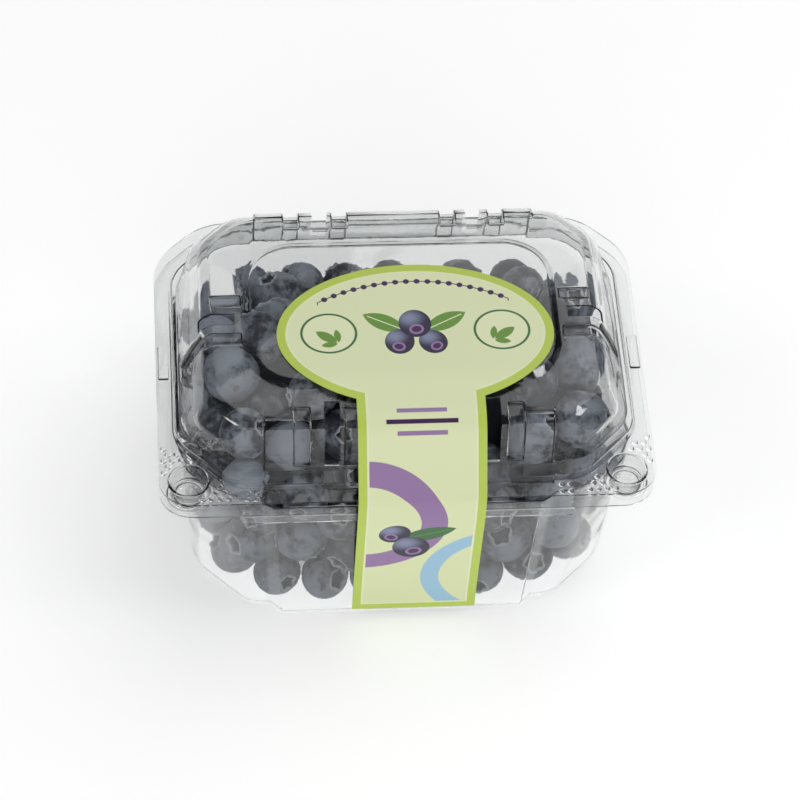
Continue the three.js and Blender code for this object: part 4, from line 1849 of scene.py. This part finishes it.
class Print:
    """Prints shapes, one over another, on a UV map that is in millimetres."""

    def __init__(self, graph: Graph, place: Socket, ground: Feed, sharp: float = 9.0) -> None:
        """Keeps the graph and starts with a plain ground.

        Args:
            graph: The material's graph.
            place: The point on the sheet, in millimetres.
            ground: The colour under everything.
            sharp: How quickly an edge turns, per millimetre.
        """
        self.graph = graph
        self.place = place
        self.colour = ground
        self.sharp = sharp

    def ink(self, mask: Socket, colour: Feed) -> None:
        """Prints a colour over what is there, where a mask is."""
        self.colour = self.graph.mix(mask, self.colour, colour)

    def _frame(self, at: Pair, size: Pair, turn: float) -> Socket:
        """Gives the place in a shape's own frame, where its edge is at 1.

        Args:
            at: The shape's middle.
            size: Its half sizes.
            turn: Its turn in degrees.

        Returns:
            The place.
        """
        feeds = {
            "Vector": self.place,
            "Location": (*at, 0),
            "Rotation": (0, 0, math.radians(turn)),
            "Scale": (*size, 1),
        }
        return self.graph.add("Mapping", feeds, vector_type="TEXTURE").outputs[0]

    def _length(self, vector: Socket) -> Socket:
        """Gives a vector's length."""
        return self.graph.add("VectorMath", {0: vector}, operation="LENGTH").outputs["Value"]

    def reach(self, at: Pair, size: Pair, turn: float = 0) -> Socket:
        """Gives the share of an ellipse's radius, 1 at its edge."""
        return self._length(self._frame(at, size, turn))

    def _inside(self, reach: Socket, scale: float, limit: float = 1.0) -> Socket:
        """Gives 1 where a reach is below a limit, with a short soft edge."""
        room = self.graph.math("SUBTRACT", limit, reach)
        return self.graph.math("MULTIPLY_ADD", room, self.sharp * scale, 0.5, clamp=True)

    def oval(self, at: Pair, size: Pair, turn: float = 0) -> Socket:
        """Gives the mask of a filled oval."""
        return self._inside(self.reach(at, size, turn), min(size))

    def hoop(self, at: Pair, size: Pair, width: float) -> Socket:
        """Gives the mask of an oval line of a width.

        Args:
            at: The shape's middle.
            size: Its half sizes.
            width: The line's width.

        Returns:
            The mask.
        """
        off = self.graph.math("SUBTRACT", self.reach(at, size), 1.0)
        half = width / 2 / min(size)
        return self._inside(self.graph.math("ABSOLUTE", off), min(size), half)

    def beads(self, at: Pair, size: Pair, count: int, radius: float) -> Socket:
        """Gives the mask of beads spaced evenly along an oval.

        Args:
            at: The oval's middle.
            size: Its half sizes.
            count: Beads in a whole turn.
            radius: A bead's radius.

        Returns:
            The mask.
        """
        place = self._frame(at, size, 0)
        parts = self.graph.add("SeparateXYZ", {0: place}).outputs
        turn = self.graph.math("ARCTAN2", parts[1], parts[0])
        step = self.graph.math("MULTIPLY", turn, count / math.tau)
        along = self.graph.math("SUBTRACT", self.graph.math("FRACT", step), 0.5)
        pace = math.pi * (size[0] + size[1]) / count
        along = self.graph.math("MULTIPLY", along, pace)
        off = self.graph.math("SUBTRACT", self._length(place), 1.0)
        across = self.graph.math("MULTIPLY", off, min(size))
        spot = self.graph.add("CombineXYZ", {0: along, 1: across}).outputs[0]
        return self._inside(self._length(spot), 1.0, radius)

    def bar(self, at: Pair, size: Pair, turn: float = 0) -> Socket:
        """Gives the mask of a bar, by its half sizes.

        Args:
            at: The shape's middle.
            size: Its half sizes.
            turn: Its turn in degrees.

        Returns:
            The mask.
        """
        place = self._frame(at, size, turn)
        node = self.graph.add("VectorMath", {0: place}, operation="ABSOLUTE")
        parts = self.graph.add("SeparateXYZ", {0: node.outputs[0]}).outputs
        return self.both(self._inside(parts[0], size[0]), self._inside(parts[1], size[1]))

    def both(self, a: Socket, b: Socket) -> Socket:
        """Gives where two masks overlap."""
        return self.graph.math("MINIMUM", a, b)

    def either(self, *masks: Socket) -> Socket:
        """Gives where any of the masks is.

        Args:
            *masks: The masks.

        Returns:
            The mask of them all.
        """
        whole = masks[0]
        for mask in masks[1:]:
            whole = self.graph.math("MAXIMUM", whole, mask)
        return whole

    def without(self, a: Socket, b: Socket) -> Socket:
        """Gives the first mask where the second isn't."""
        return self.graph.math("SUBTRACT", a, b, clamp=True)

    def leaf(self, at: Pair, length: float, width: float, turn: float) -> Socket:
        """Gives the mask of a pointed leaf, the overlap of two rounds.

        Args:
            at: The leaf's middle.
            length: Its length.
            width: Its width.
            turn: Its direction in degrees.

        Returns:
            The mask.
        """
        radius = (length**2 / width + width) / 4
        off = radius - width / 2
        angle = math.radians(turn)
        aside = (-math.sin(angle) * off, math.cos(angle) * off)
        rounds = [
            self.oval((at[0] + sign * aside[0], at[1] + sign * aside[1]), (radius, radius))
            for sign in SIDES
        ]
        return self.both(*rounds)


@dataclass(frozen=True)
class LabelPaper:
    """Finish of the label: a gloss paper with a plain printed design."""

    name: str = "label_print"
    field_colour: Colour = linear(231, 238, 193)
    field_low: Colour = linear(225, 233, 182)
    lime: Colour = linear(190, 212, 88)
    line: Colour = linear(238, 242, 204)
    purple: Colour = linear(152, 120, 168)
    plum: Colour = linear(66, 34, 82)
    navy: Colour = linear(44, 36, 66)
    haze: Colour = linear(150, 158, 190)
    green: Colour = linear(108, 152, 60)
    dark_green: Colour = linear(58, 112, 62)
    sky: Colour = linear(158, 200, 226)
    line_width: float = 0.4
    fade_from: float = 20.0
    ripple_scale: float = 45.0
    ripple_depth: float = 0.16
    roughness: float = 0.3
    scuff: float = 0.12
    shine: float = 0.4

    def build(self, label: "Label", ripple: bpy.types.NodeTree) -> bpy.types.Material:
        """Builds the material.

        Args:
            label: The label, for its sizes.
            ripple: The shared ripple group.

        Returns:
            The material.
        """
        material, graph, shader = new_material(self.name)
        uv = graph.add("UVMap", uv_map=label.uv_name).outputs[0]
        scale = 1 / label.uv_scale
        place = graph.add("VectorMath", {0: uv, 1: (scale,) * 3}, operation="MULTIPLY").outputs[0]
        sheet = Print(graph, place, self.lime)
        self._ground(sheet, label)
        self._oval_design(sheet, label)
        self._strip_design(sheet, label)
        relief = graph.add("Group", node_tree=ripple)
        graph.feed_all(relief, {"Scale": self.ripple_scale, "Depth": self.ripple_depth})
        rough = graph.math("MULTIPLY_ADD", relief.outputs["Scuff"], self.scuff, self.roughness)
        looks = {
            "Base Color": sheet.colour,
            "Roughness": rough,
            "Normal": relief.outputs["Normal"],
            "Specular IOR Level": self.shine,
        }
        graph.feed_all(shader, looks)
        return material

    def _ground(self, sheet: Print, label: "Label") -> None:
        """Prints the fine line inside the border, and the field.

        Args:
            sheet: The printer, on the border's colour.
            label: The label's sizes.
        """
        width, height = label.oval

        def inner(inset: float) -> Socket:
            """Gives the mask of the label's outline, drawn inwards.

            Args:
                inset: How far it is drawn inwards.

            Returns:
                The mask.
            """
            oval = sheet.oval((0, height), (width - inset, height - inset))
            half = (label.length - height) / 2
            strip = sheet.bar(
                (0, height + half - inset / 2), (label.strip - inset, half - inset / 2)
            )
            return sheet.either(oval, strip)

        down = sheet.graph.add("SeparateXYZ", {0: sheet.place}).outputs[1]
        fade = sheet.graph.spread(down, self.fade_from, label.length)
        field_colour = sheet.graph.mix(fade, self.field_colour, self.field_low)
        sheet.ink(inner(label.border), self.line)
        sheet.ink(inner(label.border + self.line_width), field_colour)

    def _berry(self, sheet: Print, at: Pair, size: float, turn: float) -> None:
        """Prints one berry with a pale shine and a crown.

        Args:
            sheet: The printer.
            at: The berry's middle.
            size: Its radius.
            turn: Direction of its crown in degrees.
        """
        graph = sheet.graph
        body = sheet.oval(at, (size, size * 0.92), turn)
        lit = sheet.reach((at[0] - size * 0.3, at[1] - size * 0.4), (size * 1.1, size * 0.9))
        shine = graph.spread(lit, 0.95, 0.1)
        skin = graph.mix(graph.math("MULTIPLY", shine, 0.75), self.navy, self.haze)
        angle = math.radians(turn)
        crown = (at[0] + math.cos(angle) * size * 0.42, at[1] + math.sin(angle) * size * 0.42)
        for across, along, colour in ((0.36, 0.42, self.purple), (0.22, 0.28, self.plum)):
            skin = graph.mix(sheet.oval(crown, (size * across, size * along), turn), skin, colour)
        sheet.ink(body, skin)

    def _sprig(self, sheet: Print, at: Pair, hand: int, size: float) -> None:
        """Prints a sprig of three leaves.

        Args:
            sheet: The printer.
            at: The foot of the sprig.
            hand: -1 or 1, the side that it leans to.
            size: Its length.
        """
        leaves = []
        for share, turn in ((0.95, 35), (0.62, 82), (0.62, -8)):
            angle = math.radians(turn)
            middle = (
                at[0] + hand * math.cos(angle) * size * share * 0.6,
                at[1] - math.sin(angle) * size * share * 0.6,
            )
            leaves.append(
                sheet.leaf(middle, size * share, size * share * 0.42, -turn if hand > 0 else turn)
            )
        sheet.ink(sheet.either(*leaves), self.green)

    def _oval_design(self, sheet: Print, label: "Label") -> None:
        """Prints a bow of beads over berries and leaves, between two sprigs.

        Args:
            sheet: The printer.
            label: The label's sizes.
        """
        height = label.oval[1]
        bow, radius = (0.0, 52.4), (47.0, 47.0)
        beads = sheet.either(sheet.beads(bow, radius, 112, 0.75), sheet.hoop(bow, radius, 0.28))
        sheet.ink(sheet.both(beads, sheet.bar((0, 9.2), (23.4, 6.4))), self.plum)
        for x, turn in ((-7.4, 152), (7.4, 28)):
            at = (x, height - 3.4)
            sheet.ink(sheet.leaf(at, 11.5, 4.8, -turn), self.green)
            sheet.ink(sheet.bar(at, (4.6, 0.14), -turn), self.line)
        for x, y, size, turn in ((-4.0, 2.6, 3.9, 100), (4.1, 2.9, 3.7, 60), (0, -2.9, 4.3, 80)):
            self._berry(sheet, (x, height + y), size, turn)
        for hand in SIDES:
            at, size = (hand * 21.0, height - 0.4), (6.6, 6.0)
            sheet.ink(sheet.graph.math("MULTIPLY", sheet.oval(at, size), 0.5), self.line)
            sheet.ink(sheet.hoop(at, size, 0.55), self.dark_green)
            self._sprig(sheet, (hand * 18.6, height + 2.8), hand, 6.4)

    def _strip_design(self, sheet: Print, label: "Label") -> None:
        """Prints plain bars, two curves, a leaf and two berries.

        Args:
            sheet: The printer.
            label: The label's sizes.
        """
        start, half = label.oval[1] * 2, label.length / 2
        inside = sheet.bar((0, half), (label.strip - label.border - 0.5, half - 2.6))
        for row, width, colour in (
            (1.2, 6.0, self.purple),
            (4.0, 8.6, self.plum),
            (6.8, 6.0, self.purple),
        ):
            sheet.ink(sheet.bar((0, start + row), (width, 0.55)), colour)
        for at, outer, inner, colour in (
            ((-13.5, start + 33.5), 20.0, 13.6, self.purple),
            ((22.0, start + 58.0), 21.0, 16.5, self.sky),
        ):
            curve = sheet.without(sheet.oval(at, (outer, outer)), sheet.oval(at, (inner, inner)))
            sheet.ink(sheet.both(curve, inside), colour)
        at = (1.6, start + 38.0)
        sheet.ink(sheet.both(sheet.leaf(at, 15.0, 5.6, 160), inside), self.dark_green)
        sheet.ink(sheet.bar(at, (6.4, 0.13), 160), self.green)
        for x, y, size, turn in ((-6.2, 37.5, 4.1, 120), (-2.0, 44.0, 4.9, 70)):
            self._berry(sheet, (x, start + y), size, turn)


@dataclass
class Label:
    """The label: an oval on the top panel and a strip down the front."""

    centre_x: float = 2.9
    oval: Pair = (33.6, 21.7)
    strip: float = 15.4
    border: float = 2.1
    thickness: float = 0.14
    oval_rows: int = 34
    strip_rows: int = 44
    first_row: float = 0.012
    uv_name: str = "unrolled"
    uv_scale: float = 0.01
    smooth_below: float = 30.0
    path: LabelPath = field(default_factory=LabelPath)

    @property
    def length(self) -> float:
        """Length of the label along its path."""
        return self.path.length()

    def half_width(self, s: float) -> float:
        """Gives the label's half width at a length along it.

        Args:
            s: The length along the label.

        Returns:
            The half width.
        """
        v = s / self.oval[1] - 1
        oval = self.oval[0] * math.sqrt(max(0, 1 - v * v))
        return oval if v < 0 else max(oval, self.strip)

    def rows(self) -> list[float]:
        """Gives the rows' lengths, close together at the oval's back end.

        Returns:
            The lengths along the label.
        """
        last = math.pi - math.asin(self.strip / self.oval[0])
        found = []
        for i in range(self.oval_rows + 1):
            angle = max(i / self.oval_rows, self.first_row) * last
            found.append(self.oval[1] * (1 - math.cos(angle)))
        start, length = found[-1], self.length
        for i in range(1, self.strip_rows + 1):
            found.append(start + (length - start) * i / self.strip_rows)
        return found

    def build(self) -> bpy.types.Object:
        """Builds the label's mesh, extruded row by row along its path.

        Returns:
            The label, in millimetres.
        """
        bench = Bench("label_sheet")
        rows = self.rows()
        here = self.path.at(rows[0])
        half = self.half_width(rows[0])
        bpy.ops.mesh.primitive_plane_add(size=2, location=(self.centre_x, here.x, here.y))
        middle = (self.centre_x, here.x, here.y)
        bpy.ops.transform.resize(value=(half, 0, 1), center_override=middle)
        bpy.ops.mesh.remove_doubles(threshold=NEAR / 10)
        bpy.ops.mesh.select_mode(type="EDGE")
        bpy.ops.mesh.select_all(action="SELECT")
        for s in rows[1:]:
            there = self.path.at(s)
            grown = self.half_width(s)
            bench.push((0, there.x - here.x, there.y - here.y))
            middle = (self.centre_x, there.x, there.y)
            bpy.ops.transform.resize(value=(grown / half, 1, 1), center_override=middle)
            here, half = there, grown
        bpy.ops.mesh.select_all(action="SELECT")
        bpy.ops.mesh.normals_make_consistent(inside=False)
        obj = bench.leave()
        self._unroll(obj, rows)
        if obj.data.polygons[0].normal.z < 0:
            take(obj)
            bpy.ops.object.mode_set(mode="EDIT")
            bpy.ops.mesh.select_all(action="SELECT")
            bpy.ops.mesh.flip_normals()
            bpy.ops.object.mode_set(mode="OBJECT")
        modify(obj, "SOLIDIFY", thickness=self.thickness, offset=1.0, use_even_offset=True)
        smooth(obj, self.smooth_below)
        return obj

    def _unroll(self, obj: bpy.types.Object, rows: Iterable[float]) -> None:
        """Maps the label flat: its place in millimetres, times the UV scale.

        Args:
            obj: The label.
            rows: The lengths of its rows.
        """
        places = [(self.path.at(s), s) for s in rows]
        layer = obj.data.uv_layers.new(name=self.uv_name)
        lengths = []
        for vert in obj.data.vertices:
            point = Vector((vert.co.y, vert.co.z))
            lengths.append(min(places, key=lambda place: (place[0] - point).length_squared)[1])
        for loop in obj.data.loops:
            vert = obj.data.vertices[loop.vertex_index]
            across = (vert.co.x - self.centre_x) * self.uv_scale
            layer.data[loop.index].uv = (across, lengths[loop.vertex_index] * self.uv_scale)


@dataclass(frozen=True)
class SoftLight:
    """A soft square light, in metres and watts, pointed at the pack."""

    name: str
    at: Triple
    size: float
    watts: float

    def hang(self) -> None:
        """Hangs the light."""
        data = bpy.data.lights.new(self.name, "AREA")
        data.size = self.size
        data.energy = self.watts
        light = bpy.data.objects.new(self.name, data)
        light.location = self.at
        light.rotation_euler = Vector(self.at).to_track_quat("Z", "Y").to_euler()
        bpy.context.scene.collection.objects.link(light)


@dataclass(frozen=True)
class Studio:
    """White floor, soft lights and the camera at the photograph's angle."""

    sky: float = 1.68
    low_sky: float = 0.25
    dark_to: float = -0.05
    bright_from: float = 0.35
    tilt: float = 24.0
    azimuth: float = -6.485
    elevation: float = 51.351
    roll: float = 3.5947
    aim: Triple = (1.831, 7.077, 25.35)
    distance: float = 859.85
    lens: float = 151.93
    floor_size: float = 16000.0
    floor_grey: float = 0.8
    floor_glow: float = 0.42
    lights: tuple[SoftLight, ...] = (
        SoftLight("key", (0.5, 0.5, 1.4), 1.6, 11.8),
        SoftLight("fill", (-0.1, -1.5, 0.75), 1.5, 10.5),
        SoftLight("spark_left", (-0.9, -0.35, 1.0), 0.3, 2.4),
        SoftLight("spark_right", (0.85, -0.2, 1.1), 0.3, 2.4),
    )

    def build(self) -> None:
        """Builds the studio."""
        self._floor()
        self._world()
        for light in self.lights:
            light.hang()
        self._camera()

    def _floor(self) -> None:
        """Lays the floor."""
        deselect_all()
        bpy.ops.mesh.primitive_plane_add(size=self.floor_size * MM, location=(0, 0, 0))
        floor = bpy.context.object
        floor.name = "floor"
        material, graph, shader = new_material("floor_white")
        looks = {
            "Base Color": (self.floor_grey, self.floor_grey, self.floor_grey, 1),
            "Emission Color": (1, 1, 1, 1),
            "Emission Strength": self.floor_glow,
            "Roughness": 0.9,
            "Specular IOR Level": 0.1,
        }
        graph.feed_all(shader, looks)
        floor.data.materials.append(material)

    def _world(self) -> None:
        """Sets a white sky, tipped to the front, over a darker rim that draws clear edges."""
        world = bpy.data.worlds.new("studio")
        world.use_nodes = True
        graph = Graph(world.node_tree)
        way = graph.add("TexCoord").outputs["Generated"]
        tilt = math.radians(self.tilt)
        axis = (0, -math.sin(tilt), math.cos(tilt))
        height = graph.add("VectorMath", {0: way, 1: axis}, operation="DOT_PRODUCT").outputs[1]
        share = graph.spread(height, self.dark_to, self.bright_from)
        grey = graph.math("MULTIPLY_ADD", share, self.sky - self.low_sky, self.low_sky)
        graph.feed_all(world.node_tree.nodes["Background"], {"Strength": grey})
        bpy.context.scene.world = world

    def _camera(self) -> None:
        """Sets the camera."""
        azimuth, elevation = math.radians(self.azimuth), math.radians(self.elevation)
        data = bpy.data.cameras.new("camera")
        data.lens = self.lens
        data.clip_start, data.clip_end = 0.01, 20
        camera = bpy.data.objects.new("camera", data)
        turn = (
            Matrix.Rotation(azimuth, 4, "Z")
            @ Matrix.Rotation(math.pi / 2 - elevation, 4, "X")
            @ Matrix.Rotation(math.radians(self.roll), 4, "Z")
        )
        back = Vector(
            (
                math.sin(azimuth) * math.cos(elevation),
                -math.cos(azimuth) * math.cos(elevation),
                math.sin(elevation),
            )
        )
        stand = (Vector(self.aim) + back * self.distance) * MM
        camera.matrix_world = Matrix.Translation(stand) @ turn
        bpy.context.scene.collection.objects.link(camera)
        bpy.context.scene.camera = camera


def main() -> None:
    """Builds and dresses the punnet, piece by piece."""
    logging.basicConfig(level=logging.INFO, format="%(name)s: %(message)s")
    deselect_all()
    ripple = ripple_group()
    lid_finish = ClearSheet("clear_lid").build(ripple)
    tray_finish = ClearSheet("clear_tray").build(ripple)
    finish_piece(Tray().build(), tray_finish, "clear_sheet", "tray")
    finish_piece(Lid().build(), lid_finish, "clear_sheet", "lid")
    berries = Blueberries()
    finish_piece(berries.build(), BerrySkin().build(), "blueberry_skin", "blueberries")
    finish_piece(berries.build_core(), HeapShade().build(), "blueberry_skin", "blueberries")
    label = Label()
    finish_piece(label.build(), LabelPaper().build(label, ripple), "label_paper", "label")
    Studio().build()
    bpy.context.scene.view_settings.view_transform = "Standard"


if __name__ == "__main__":
    main()
